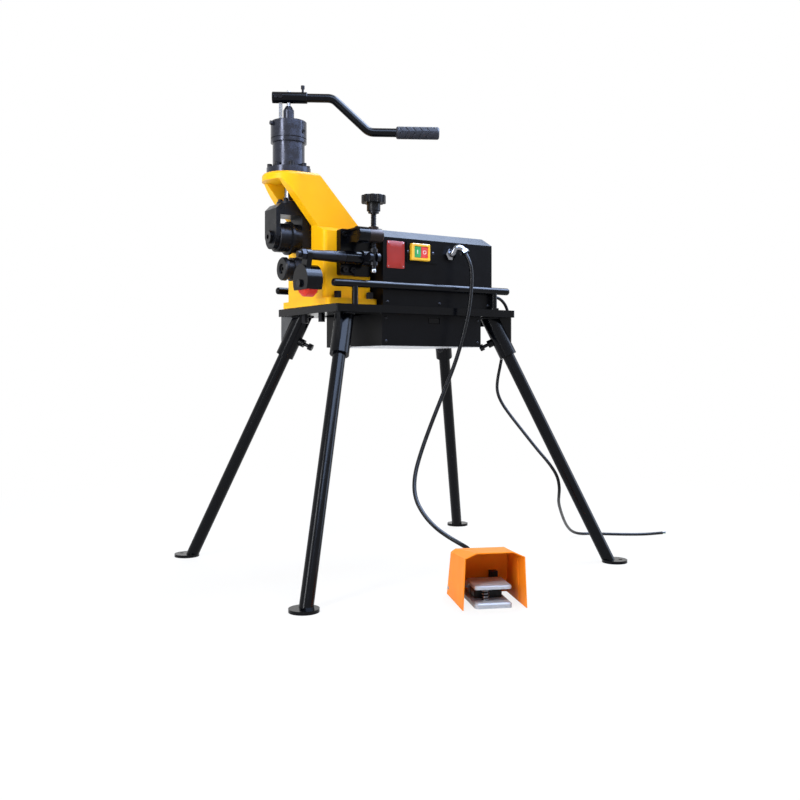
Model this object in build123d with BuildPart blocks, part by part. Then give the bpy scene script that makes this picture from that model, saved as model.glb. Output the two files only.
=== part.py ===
"""Pipe roll groover on a four-leg stand, with hydraulic hand pump and foot switch.

Millimetres, +Z up. X runs along the roll axis, the rolls stand at the -X end, and
the operator's side with the push buttons is at -Y. The origin is on the floor,
midway between the four anchor holes of the feet.
"""
import math
import os

from build123d import *

os.makedirs("parts", exist_ok=True)

# Fits
running_gap = 0.05
slide_gap = 0.4
face_gap = 0.3
socket_share = 0.55

# Stand
plate_length = 580
plate_width = 342
plate_thickness = 10
plate_top = 706
plate_corner_r = 5
frame_thickness = 10
frame_bar = 80
leg_od = 33.7
leg_wall = 3.2
leg_head_inset = 51.5
anchor_inset_x = 21
anchor_inset_y = 21.5
leg_headroom = 20
leg_slip = 0.3
socket_od = 50
socket_length = 122
foot_r = 35
foot_thickness = 8
foot_offset = 14
anchor_r = 5.5
anchor_pitch_x = 990
anchor_pitch_y = 763
gusset_reach = 62
gusset_thickness = 10
clamp_drop = 60
clamp_r = 5
clamp_nut_r = 11
clamp_nut_end = 38
clamp_head_af = 18
clamp_head_height = 12
clamp_head_start = 52
clamp_head_edge = 1.5
plate_bolt_inset = 22
plate_bolt_y = 48
plate_bolt_r = 5
plate_bolt_af = 17
plate_bolt_head = 22
plate_bolt_grip = 16

# Carrying rails
rail_r = 10
rail_inset = 8
rail_over = 53
rail_front_along = -9
rail_rear_short = 19
rail_post_r = 8
rail_post_front_along = 57
rail_post_rear_short = 70
rail_post_foot_r = 13
rail_post_foot_height = 5
rail_end_round = 6

# Cast frame
flange_front_along = -6
flange_rear_along = 145
flange_side = 24
flange_thickness = 17
flange_corner_r = 10
column_front_along = -3
column_rear_along = 140
column_width = 216
column_shoulder_over = 95
column_top_over = 109
column_corner_r = 12
arm_front_drop = 114
arm_lean = 50.6
arm_rear_along = 122
arm_rear_over = 118
yoke_headroom = 60
top_plate_thickness = 21
top_plate_r = 70
top_plate_rear_along = 1
yoke_side_gap = 2.5
slot_floor_over = 43
slot_back_along = 62
slot_back_over = 137
slot_top_along = -12
casting_edge_r = 9
hold_bolt_front_along = 30
hold_bolt_rear_along = 126
hold_bolt_out = 13
hold_bolt_r = 6
hold_bolt_af = 18
hold_bolt_head = 18

# Ram and hydraulic cylinder
ram_along = -50.5
rod_r = 11
rod_hole_gap = 0.5
piston_r = 31
piston_height = 22
piston_over = 34
cylinder_flange_r = 58
cylinder_flange_height = 16
cylinder_r = 42
cylinder_height = 83
head_r = 47.2
head_height = 57
head_groove_depth = 3
head_groove_over = 9
head_groove_height = 3
head_edge = 2
flange_screw_count = 8
flange_screw_pitch_r = 50
flange_screw_r = 4
flange_screw_head_r = 6.5
flange_screw_head = 10
flange_screw_turn = 26.6
neck_r = 14.2
neck_shoulder_over = 30
neck_tip_r = 8
neck_tip_over = 41
neck_ring_r = 16
neck_ring_height = 2.5
valve_over = 28
valve_turn = -62
valve_r = 6
valve_proud = 1.5
valve_socket_r = 3.5
valve_socket_depth = 5
valve_depth = 14
filler_turn = -178
filler_over = 48
filler_r = 6
filler_reach = 7

# Pump lever, drawn along its own direction in plan
lever_turn = -30
lever_over = 64.6
fulcrum_s = -21
pump_pin_r = 4
pump_pin_head_r = 6
pump_pin_head = 3
pump_pin_seat = 1.4
end_bolt_s = -32.5
end_bolt_r = 3
end_bolt_head_r = 5
link_width = 9
link_thickness = 7
link_eye_r = 8
link_foot_length = 22
link_foot_height = 5
plunger_r = 5
plunger_proud = 18.4
plunger_foot_drop = 1
plunger_bore_drop = 13
plunger_pin_r = 3
plunger_pin_length = 16
plunger_round = 2
plunger_slot_start = -8
plunger_slot_end = 21
lever_socket_start = -43.5
lever_socket_end = 49
lever_socket_r = 15
lever_socket_edge = 2
lever_tube_r = 11.5
lever_tube_start = 22
lever_slot_start = -41
lever_slot_end = 16
lever_slot_width = 12
lever_bend_1 = 116
lever_bend_2 = 212
lever_drop = 88.5
lever_bend_r = 34
lever_wall = 2.6
grip_r = 16.5
grip_start = 284
grip_end = 398
grip_end_wall = 4
grip_edge_r = 3
thumb_s = 37
thumb_r = 3
thumb_head_r = 5
thumb_head = 9
thumb_reach = 32

# Upper roll and its yoke
roll_gap = 12
upper_roll_r = 38
ridge_height = 6
ridge_along = -53
ridge_width = 10
ridge_flank = 1.5
upper_roll_edge = 2
yoke_half_width = 35
yoke_front_along = -103
yoke_front_thickness = 12
yoke_rear_along = -28
yoke_back_play = 3
yoke_bridge_rear_along = -8
yoke_guide_rise = 21
yoke_bridge_thickness = 30
yoke_bridge_gap = 12
yoke_foot_r = 32
yoke_back_rise = 12
yoke_chamfer = 14
roll_side_gap = 0.6
upper_axle_r = 12
upper_axle_rear_along = -6
axle_head_r = 17
axle_head = 8
hex_recess_af = 12
hex_recess_depth = 6
rod_seat = 12
yoke_boss_r = 32
yoke_boss = 8
yoke_screw_pitch_r = 23
yoke_screw_count = 4
yoke_screw_turn = 45
yoke_screw_r = 4
yoke_screw_head_r = 6.5
yoke_screw_head = 9
yoke_screw_depth = 10

# Drive roll, spindle and gear train
drive_axis_over = 97
drive_roll_r = 31
drive_roll_front_along = -72
drive_roll_rear_along = -16
drive_groove_depth = 5
drive_groove_width = 15
drive_stop_height = 6
drive_stop_width = 8
drive_roll_edge = 3
drive_flat_count = 24
drive_flat_depth = 1
drive_bore_r = 12
drive_recess_r = 13.5
drive_recess_depth = 12
roll_bolt_head_r = 9.5
roll_bolt_head = 8
roll_bolt_r = 5
roll_bolt_length = 26
spindle_shoulder_r = 19
spindle_journal_r = 15
bearing_outer_r = 31
bearing_width = 16
bearing_lip = 3
spindle_rear_along = 202
gear_module = 2.5
gear_teeth = 48
pinion_teeth = 16
gear_pressure_angle = 20
gear_backlash = 0.8
gear_addendum = 0.8
gear_dedendum = 1.15
gear_width = 24
gear_front_along = 162
gear_hub_r = 24
pinion_shaft_r = 9
motor_front_along = 202
motor_length = 196
motor_side_gap = 8
motor_bell_length = 26
motor_bell_step = 6
motor_fin_count = 24
motor_fin_depth = 3
motor_foot_width = 96
motor_foot_thickness = 12
motor_shaft_depth = 20

# Sheet covers
sheet = 2
cover_front_along = 148
cover_rear_short = 70
cover_rail_gap = 1
cover_side_over = 84
cover_bevel = 20
cover_front_hole_r = 70
box_front_along = 145
box_rear_short = 109
box_height = 85
latch_along = 311
latch_drop = 16
latch_width = 38
latch_height = 17
latch_depth = 6
contactor_size = (70, 90, 60)
contactor_shoulder = 36
rear_vent_count = 6
rear_vent_width = 110
rear_vent_height = 5
rear_vent_pitch = 14
rear_vent_over = -3

# Push-button switch
switch_plate_size = (101, 55)
switch_plate_along = 270.5
switch_plate_drop = 34.5
switch_plate_thickness = 3
bezel_size = (59, 45)
bezel_along = 260
bezel_drop = 35
bezel_depth = 12
bezel_corner_r = 3
bezel_wall = 7
bezel_edge = 2
button_gap = 1.2
button_depth = 8
button_proud = 10
button_corner_r = 2
button_edge = 1

# Pipe stabiliser
bracket_front_along = 34
bracket_rear_along = 81
bracket_thickness = 20
bracket_floor_over = -21
bracket_top_over = 99
bracket_corner_r = 6
bracket_screw_r = 5
bracket_screw_head_r = 7.5
bracket_screw_head = 7
bracket_screw_depth = 18
bracket_screw_inset_x = 12
bracket_screw_inset_z = 14
swing_out = 18
swing_over = 23
swing_shaft_r = 13
swing_sleeve_r = 17
swing_sleeve_short = 2
swing_web_height = 27
swing_nose_r = 8
swing_nut_af = 24
swing_nut = 12
swing_taper_front_r = 12
swing_taper_rear_r = 16
swing_front_along = -98
fork_arm = 36
fork_along = 101
fork_round_r = 12
fork_bar_half = 5
fork_cheek = 9
fork_gap = 13.4
fork_hub_r = 20
fork_play = 0.6
crank_thickness = 14
crank_hub_r = 14
guard_in = 21
guard_over = -41
guard_r = 41
guard_wall = 3
guard_front_along = -80
guard_sheet = 4
guard_rear_along = -37
guard_cut_over = -64
guard_open_over = -25
guide_roller_over = -48
guide_roller_r = 33
guide_roller_length = 36
guide_roller_chamfer = 7
guide_axle_r = 7
guide_axle_head_r = 10
guide_axle_head = 6
screw_r = 7.5
screw_neck_r = 6
screw_collar_r = 11
screw_collar = 7
screw_edge = 1
screw_foot_over = -17
thrust_washer = 1.5
swivel_over = 79
swivel_r = 19
swivel_end_along = 124
swivel_edge = 4
swivel_collar_r = 13
swivel_collar_over = 101
swivel_boss_r = 20.5
swivel_web_along = 50
swivel_web_height = 36
knob_seat_over = 136
knob_washer_r = 14
knob_washer = 6
knob_hub_r = 17.5
knob_hub = 20
knob_r = 31.5
knob_height = 20
knob_lobes = 10
knob_lobe_r = 6.5
knob_edge = 1.5

# Foot switch, drawn in its own frame: u across, v to its rear
hood_front = (-117, -590)
hood_turn = -23.3
hood_half_width = 75
hood_length = 165
hood_sheet = 2
hood_lean = 26
hood_front_shoulder_in = 5
hood_front_shoulder_z = 116
hood_front_top_in = 27
hood_front_rise = 12
hood_rear_shoulder_in = 4
hood_rear_shoulder_z = 103
hood_rear_top_in = 8
hood_rear_rise = 7
base_width = 86
base_front_v = 8
base_thickness = 12
base_edge = 3
foot_corner_r = 8
pedal_width = 86
pedal_front_v = 12
pedal_rear_v = 103
pedal_thickness = 8
pedal_z = 42
pedal_edge = 2
pedal_pivot_v = 118
pedal_pivot_z = 32
pedal_lug_width = 9
pedal_pin_r = 4
pedal_pin_proud = 2
pedal_post_width = 8
pedal_knuckle_r = 8
foot_box_u = 11
foot_box_width = 62
foot_box_front_v = 131
foot_box_length = 17
foot_box_height = 28
foot_box_end_width = 18
foot_box_end_height = 45
pedal_spring_u = -12
pedal_spring_v = 40
spring_wire_r = 1.1
spring_r = 8
spring_turns = 4
foot_gland_tip_r = 7
foot_gland_r = 11

# Cords
pedal_cord_r = 5.5
power_cord_r = 4.5
power_core_r = 1.3
power_core_length = 14
power_core_spread = 1.9
bend_share = 0.45
gland_hex_af = 30
gland_hex_length = 10
gland_tube_r = 8
outlet_nut_af = 24
outlet_nut_length = 8
outlet_along = 29
outlet_out = 35
outlet_rise = 2
outlet_way = (7, -11, -21)
elbow_reach = 14.6
elbow_knee = (9, 21, 19.5)
elbow_lead = 8
gland_along = 362
gland_drop = 34
rear_gland_r = 11
rear_gland_tip_r = 6.5
rear_gland_flange_r = 14
rear_gland_flange = 4
rear_gland_length = 30
rear_gland_y = -85
rear_gland_over = 46
pedal_cord_route = [
    (101, -187, 855),
    (108, -198, 834),
    (110, -204, 796),
    (107, -205, 752),
    (102, -202, 698),
    (88, -196, 633),
    (66, -191, 560),
    (29, -188, 480),
    (-14, -189, 394),
    (-53, -196, 318),
    (-82, -209, 258),
    (-97, -234, 208),
    (-92, -268, 168),
    (-77, -297, 139),
    (-57.6, -325, 118),
    (-40, -357, 102),
    (-34.6, -387.6, 93),
    (-42.6, -417.4, 78),
]
power_cord_route = [
    (250, -85, 752),
    (279, -85, 752),
    (309, -86, 744),
    (329, -88, 719),
    (332, -90, 685),
    (325, -92, 643),
    (310, -93, 598),
    (300, -92, 550),
    (290, -90.5, 508),
    (286, -93, 474),
    (293, -105, 441),
    (308, -127, 405),
    (327, -158, 362),
    (350, -198, 308),
    (366, -232, 270),
    (377, -253, 236),
    (386, -252, 203),
    (400, -234, 176),
    (424, -206, 152),
    (466, -168, 122),
    (528, -114, 82),
    (596, -58, 44),
    (652, -22, 17),
    (697, -10, 4.6),
    (733, -25, 4.6),
    (766, -58, 4.6),
    (803, -90, 4.6),
    (842, -118, 4.6),
    (888, -137, 4.6),
    (934, -143, 4.6),
]

# Places worked out from the sizes
plate_front_x = -plate_length / 2
plate_rear_x = plate_length / 2
frame_bottom = plate_top - plate_thickness - frame_thickness
flange_top = plate_top + flange_thickness
leg_head_x = plate_length / 2 - leg_head_inset
leg_head_y = plate_width / 2 - leg_head_inset
leg_foot_x = anchor_pitch_x / 2 - anchor_inset_x
leg_foot_y = anchor_pitch_y / 2 - anchor_inset_y
plate_bolt_x = plate_length / 2 - plate_bolt_inset
rail_y = plate_width / 2 - rail_inset
rail_z = plate_top + rail_over
rail_front_x = plate_front_x + rail_front_along
rail_rear_x = plate_rear_x - rail_rear_short
rail_post_front_x = plate_front_x + rail_post_front_along
rail_post_rear_x = plate_rear_x - rail_post_rear_short
drive_axis_z = plate_top + drive_axis_over
flange_front_x = plate_front_x + flange_front_along
flange_rear_x = plate_front_x + flange_rear_along
flange_width = column_width + 2 * flange_side
column_front_x = plate_front_x + column_front_along
column_rear_x = plate_front_x + column_rear_along
column_shoulder_z = drive_axis_z + column_shoulder_over
column_top_z = drive_axis_z + column_top_over
hold_bolt_front_x = plate_front_x + hold_bolt_front_along
hold_bolt_rear_x = plate_front_x + hold_bolt_rear_along
hold_bolt_y = column_width / 2 + hold_bolt_out
ram_x = plate_front_x + ram_along
ridge_x = plate_front_x + ridge_along
upper_axis_z = drive_axis_z + drive_roll_r + upper_roll_r + roll_gap
ridge_r = upper_roll_r + ridge_height
drive_groove_r = drive_roll_r - drive_groove_depth
drive_stop_r = drive_roll_r + drive_stop_height
drive_roll_front_x = plate_front_x + drive_roll_front_along
drive_roll_rear_x = plate_front_x + drive_roll_rear_along
spindle_rear_x = plate_front_x + spindle_rear_along
gear_front_x = plate_front_x + gear_front_along
gear_centre = gear_module * (gear_teeth + pinion_teeth) / 2
slot_floor_z = drive_axis_z + slot_floor_over
slot_back_x = plate_front_x + slot_back_along
slot_back_z = drive_axis_z + slot_back_over
slot_top_x = plate_front_x + slot_top_along
slot_half_width = yoke_half_width + yoke_side_gap
yoke_front_x = plate_front_x + yoke_front_along
yoke_front_back_x = yoke_front_x + yoke_front_thickness
yoke_rear_x = plate_front_x + yoke_rear_along
yoke_back_x = slot_back_x - yoke_back_play
yoke_bridge_rear_x = plate_front_x + yoke_bridge_rear_along
yoke_bridge_z = upper_axis_z + ridge_r + yoke_bridge_gap
yoke_top_z = yoke_bridge_z + yoke_bridge_thickness
yoke_guide_top_z = upper_axis_z + yoke_guide_rise
yoke_back_foot_z = slot_floor_z + yoke_back_rise
upper_axle_rear_x = plate_front_x + upper_axle_rear_along
rod_foot_z = yoke_top_z - rod_seat
top_plate_floor = yoke_top_z + yoke_headroom
top_plate_top = top_plate_floor + top_plate_thickness
top_plate_rear_x = plate_front_x + top_plate_rear_along
arm_half_width = top_plate_r
arm_front_z = top_plate_floor - arm_front_drop
arm_rear_x = plate_front_x + arm_rear_along
arm_rear_z = drive_axis_z + arm_rear_over
arm_run = (top_plate_floor - arm_front_z) / math.tan(math.radians(arm_lean))
piston_z = top_plate_top + piston_over
head_z = top_plate_top + cylinder_height
head_top = head_z + head_height
head_groove_z = head_z + head_groove_over
valve_z = head_z + valve_over
filler_z = head_z + filler_over
neck_shoulder_z = head_top + neck_shoulder_over
neck_tip_z = head_top + neck_tip_over
lever_z = head_top + lever_over
plunger_top_z = lever_z + plunger_proud
plunger_foot_z = head_top - plunger_foot_drop
plunger_bore_floor_z = head_top - plunger_bore_drop
bracket_front_x = plate_front_x + bracket_front_along
bracket_rear_x = plate_front_x + bracket_rear_along
bracket_floor_z = drive_axis_z + bracket_floor_over
bracket_top_z = drive_axis_z + bracket_top_over
bracket_face_y = -column_width / 2 - bracket_thickness
swing_y = bracket_face_y - swing_out
swing_z = drive_axis_z + swing_over
swing_front_x = plate_front_x + swing_front_along
swing_sleeve_rear_x = bracket_rear_x - swing_sleeve_short
fork_x = plate_front_x + fork_along
fork_y = swing_y - fork_arm
guard_y = swing_y + guard_in
guard_z = drive_axis_z + guard_over
guard_cut_z = drive_axis_z + guard_cut_over
guard_open_z = drive_axis_z + guard_open_over
guard_front_x = plate_front_x + guard_front_along
guard_back_x = guard_front_x + guard_sheet
crank_back_x = guard_back_x + crank_thickness
guard_rear_x = plate_front_x + guard_rear_along
guide_roller_z = drive_axis_z + guide_roller_over
screw_foot_z = drive_axis_z + screw_foot_over
swivel_z = drive_axis_z + swivel_over
swivel_end_x = plate_front_x + swivel_end_along
swivel_web_x = plate_front_x + swivel_web_along
swivel_collar_z = drive_axis_z + swivel_collar_over
knob_seat_z = drive_axis_z + knob_seat_over
cover_front_x = plate_front_x + cover_front_along
cover_rear_x = plate_rear_x - cover_rear_short
cover_half_width = rail_y - rail_r - cover_rail_gap
cover_side_top = drive_axis_z + cover_side_over
cover_top = cover_side_top + cover_bevel
motor_front_x = plate_front_x + motor_front_along
motor_r = cover_half_width - sheet - motor_side_gap - gear_centre
motor_bell_r = motor_r - motor_bell_step
rear_vent_z = drive_axis_z + rear_vent_over
box_front_x = plate_front_x + box_front_along
box_rear_x = plate_rear_x - box_rear_short
box_floor_z = frame_bottom - box_height
latch_x = plate_front_x + latch_along
latch_z = frame_bottom - latch_drop
switch_plate_centre = (plate_front_x + switch_plate_along, cover_side_top - switch_plate_drop)
bezel_centre = (plate_front_x + bezel_along, cover_side_top - bezel_drop)
gland_x = plate_front_x + gland_along
gland_z = cover_side_top - gland_drop
rear_gland_z = plate_top + rear_gland_over
rear_gland_tip_x = cover_rear_x + rear_gland_length
leg_corners = [("front_near", -1, -1), ("front_far", -1, 1), ("rear_near", 1, -1), ("rear_far", 1, 1)]


def keep(part, name):
    """Label one finished piece and write its file."""
    part.label = name
    export_step(part, f"parts/{name}.step")


def along_x(y, z):
    """Plane whose first axis is a line along X and whose second axis is the radius."""
    return Plane(origin=(0, y, z), x_dir=(1, 0, 0), z_dir=(0, -1, 0))


def along_z(x, y):
    """Plane whose first axis is a line along Z and whose second axis is the radius."""
    return Plane(origin=(x, y, 0), x_dir=(0, 0, 1), z_dir=(0, 1, 0))


def turned(plane, outline):
    """A lathe-turned piece: the outline of (length, radius) points spun about the plane's first axis."""
    with BuildPart() as body:
        with BuildSketch(plane):
            with BuildLine():
                Polyline(*outline, close=True)
            make_face()
        revolve(axis=Axis(plane.origin, plane.x_dir))
    return body.part


def stepped(start, steps):
    """Outline of a stepped shaft from its start, as (length, radius) steps."""
    outline = [(start, 0)]
    place = start
    for length, radius in steps:
        outline.append((place, radius))
        place += length
        outline.append((place, radius))
    outline.append((place, 0))
    return outline


def cap_screw(plane, shank_r, depth, head_r, head):
    """A socket screw: shank below the plane and a head with a hexagon socket above it."""
    with BuildPart() as screw:
        with BuildSketch(plane.offset(-depth)):
            Circle(shank_r)
        extrude(amount=depth)
        with BuildSketch(plane):
            Circle(head_r)
        extrude(amount=head)
        with BuildSketch(plane.offset(head)):
            RegularPolygon(head_r * socket_share, 6)
        extrude(amount=-head / 2, mode=Mode.SUBTRACT)
    return screw.part


def hex_bolt(plane, shank_r, depth, across_flats, head):
    """A hexagon bolt: shank below the plane and its head above it."""
    with BuildPart() as bolt:
        with BuildSketch(plane.offset(-depth)):
            Circle(shank_r)
        extrude(amount=depth)
        with BuildSketch(plane):
            RegularPolygon(across_flats / 2, 6, major_radius=False)
        extrude(amount=head)
    return bolt.part


def group(parts):
    """Separate like pieces kept together as one node."""
    return Compound(children=list(parts))


# Legs: a tube on a slanted line, welded to a round foot with an anchor hole
def leg_line(sx, sy):
    head = Vector(sx * leg_head_x, sy * leg_head_y, frame_bottom)
    foot = Vector(sx * leg_foot_x, sy * leg_foot_y, 0)
    return Plane(origin=foot, x_dir=(head - foot).cross(Vector(0, 0, 1)), z_dir=head - foot)


leg_span = math.dist((leg_head_x, leg_head_y, frame_bottom), (leg_foot_x, leg_foot_y, 0))
splay_x = (leg_foot_x - leg_head_x) / math.hypot(leg_foot_x - leg_head_x, leg_foot_y - leg_head_y)
splay_y = (leg_foot_y - leg_head_y) / math.hypot(leg_foot_x - leg_head_x, leg_foot_y - leg_head_y)
foot_x = leg_foot_x + foot_offset * splay_x
foot_y = leg_foot_y + foot_offset * splay_y

for corner, sx, sy in leg_corners:
    line = leg_line(sx, sy)
    with BuildPart() as leg:
        with BuildSketch(line.offset(-foot_r)):
            Circle(leg_od / 2)
        extrude(amount=leg_span - leg_headroom + foot_r)
        split(bisect_by=Plane.XY.offset(foot_thickness / 2), keep=Keep.TOP)
        with BuildSketch(line.offset(foot_thickness + leg_od / 2)):
            Circle(leg_od / 2 - leg_wall)
        extrude(amount=leg_span, mode=Mode.SUBTRACT)
        with BuildSketch(Plane.XY):
            with Locations((sx * foot_x, sy * foot_y)):
                Circle(foot_r)
        extrude(amount=foot_thickness)
        with BuildSketch(Plane.XY):
            with Locations((sx * anchor_pitch_x / 2, sy * anchor_pitch_y / 2)):
                Circle(anchor_r)
        extrude(amount=foot_thickness, mode=Mode.SUBTRACT)
    keep(leg.part, f"leg_{corner}")


# Stand frame: a flat ring with four slanted leg sockets, their gussets and clamp nuts, all welded
def clamp_plane(sx, sy):
    line = leg_line(sx, sy)
    along = leg_span * (1 - clamp_drop / frame_bottom)
    inward = Vector(-sx * splay_x, -sy * splay_y, 0)
    square = inward - line.z_dir * inward.dot(line.z_dir)
    return Plane(origin=line.origin + line.z_dir * along, x_dir=line.x_dir, z_dir=square)


def leg_socket(sx, sy):
    line = leg_line(sx, sy)
    outward = Vector(sx * splay_x, sy * splay_y, 0)
    upright = Plane(
        origin=(sx * leg_head_x, sy * leg_head_y, frame_bottom),
        x_dir=outward,
        z_dir=outward.cross(Vector(0, 0, 1)),
    )
    splay = math.hypot(leg_foot_x - leg_head_x, leg_foot_y - leg_head_y) / frame_bottom
    gusset_drop = (gusset_reach - socket_od / 2) / splay
    with BuildPart() as socket:
        with BuildSketch(line.offset(leg_span - socket_length)):
            Circle(socket_od / 2)
        extrude(amount=socket_length + socket_od)
        with BuildSketch(upright):
            with BuildLine():
                Polyline(
                    (0, 0), (gusset_reach, 0), (gusset_reach, -gusset_drop), (gusset_drop * splay, -gusset_drop),
                    close=True)
            make_face()
        extrude(amount=gusset_thickness / 2, both=True)
        split(bisect_by=Plane.XY.offset(frame_bottom), keep=Keep.BOTTOM)
        with BuildSketch(clamp_plane(sx, sy)):
            Circle(clamp_nut_r)
        extrude(amount=clamp_nut_end)
        with BuildSketch(clamp_plane(sx, sy)):
            Circle(clamp_r + running_gap)
        extrude(amount=clamp_nut_end, mode=Mode.SUBTRACT)
        with BuildSketch(line.offset(leg_span - socket_length)):
            Circle(leg_od / 2 + leg_slip)
        extrude(amount=socket_length + socket_od, mode=Mode.SUBTRACT)
    return socket.part


leg_sockets = [leg_socket(sx, sy) for _, sx, sy in leg_corners]
with BuildPart() as stand_frame:
    with BuildSketch(Plane.XY.offset(frame_bottom)):
        RectangleRounded(plate_length, plate_width, plate_corner_r)
        Rectangle(plate_length - 2 * frame_bar, plate_width - 2 * frame_bar, mode=Mode.SUBTRACT)
        with GridLocations(2 * plate_bolt_x, 2 * plate_bolt_y, 2, 2):
            Circle(plate_bolt_r + running_gap, mode=Mode.SUBTRACT)
    extrude(amount=frame_thickness)
    add(leg_sockets)
keep(stand_frame.part, "stand_frame")

# Clamp screws that hold the legs in their sockets
clamp_screws = []
for _, sx, sy in leg_corners:
    seat = clamp_plane(sx, sy)
    with BuildPart() as clamp_screw:
        with BuildSketch(seat.offset(leg_od / 2 + running_gap)):
            Circle(clamp_r)
        extrude(amount=clamp_head_start - leg_od / 2)
        with BuildSketch(seat.offset(clamp_head_start)):
            RegularPolygon(clamp_head_af / 2, 6, major_radius=False)
        extrude(amount=clamp_head_height)
        chamfer(clamp_screw.edges().filter_by(GeomType.LINE).sort_by_distance(
            seat.origin + seat.z_dir * (clamp_head_start + clamp_head_height))[:6], length=clamp_head_edge)
    clamp_screws.append(clamp_screw.part)
keep(group(clamp_screws), "leg_clamp_screws")

# Table plate, bolted to the frame from below
with BuildPart() as stand_plate:
    with BuildSketch(Plane.XY.offset(plate_top - plate_thickness)):
        RectangleRounded(plate_length, plate_width, plate_corner_r)
        with GridLocations(2 * plate_bolt_x, 2 * plate_bolt_y, 2, 2):
            Circle(plate_bolt_r + running_gap, mode=Mode.SUBTRACT)
        for bolt_x in (hold_bolt_front_x, hold_bolt_rear_x):
            with Locations((bolt_x, hold_bolt_y), (bolt_x, -hold_bolt_y)):
                Circle(hold_bolt_r + running_gap, mode=Mode.SUBTRACT)
    extrude(amount=plate_thickness)
keep(stand_plate.part, "stand_plate")

plate_bolts = []
for bolt_x in (-plate_bolt_x, plate_bolt_x):
    for bolt_y in (-plate_bolt_y, plate_bolt_y):
        seat = Plane(origin=(bolt_x, bolt_y, frame_bottom), x_dir=(1, 0, 0), z_dir=(0, 0, -1))
        plate_bolts.append(hex_bolt(seat, plate_bolt_r, plate_bolt_grip, plate_bolt_af, plate_bolt_head))


# Carrying rails: a round bar with domed ends on two posts, one rail on each side
def carrying_rail(side):
    y = side * rail_y
    with BuildPart() as rail:
        with BuildSketch(Plane.YZ.offset(rail_front_x)):
            with Locations((y, rail_z)):
                Circle(rail_r)
        extrude(amount=rail_rear_x - rail_front_x)
        fillet(rail.edges().filter_by(GeomType.CIRCLE), radius=rail_end_round)
        with BuildSketch(Plane.XY.offset(plate_top)):
            with Locations((rail_post_front_x, y), (rail_post_rear_x, y)):
                Circle(rail_post_r)
        extrude(amount=rail_z - plate_top)
        with BuildSketch(Plane.XY.offset(plate_top)):
            with Locations((rail_post_rear_x, y)):
                Circle(rail_post_foot_r)
        extrude(amount=rail_post_foot_height)
    return rail.part


carrying_rails = []
for side in (-1, 1):
    with BuildPart() as rail_trim:
        add(carrying_rail(side))
        with BuildSketch(Plane.XY.offset(plate_top)):
            with Locations((0, side * (plate_width / 2 + rail_r))):
                Rectangle(plate_length, 2 * rail_r)
        extrude(amount=rail_post_foot_height, mode=Mode.SUBTRACT)
        with BuildSketch(Plane.XY.offset(plate_top)):
            with Locations((0, side * (cover_half_width - rail_r + face_gap))):
                Rectangle(plate_length, 2 * rail_r)
        extrude(amount=rail_post_foot_height, mode=Mode.SUBTRACT)
    carrying_rails.append(rail_trim.part)
keep(group(carrying_rails), "carrying_rails")

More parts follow.
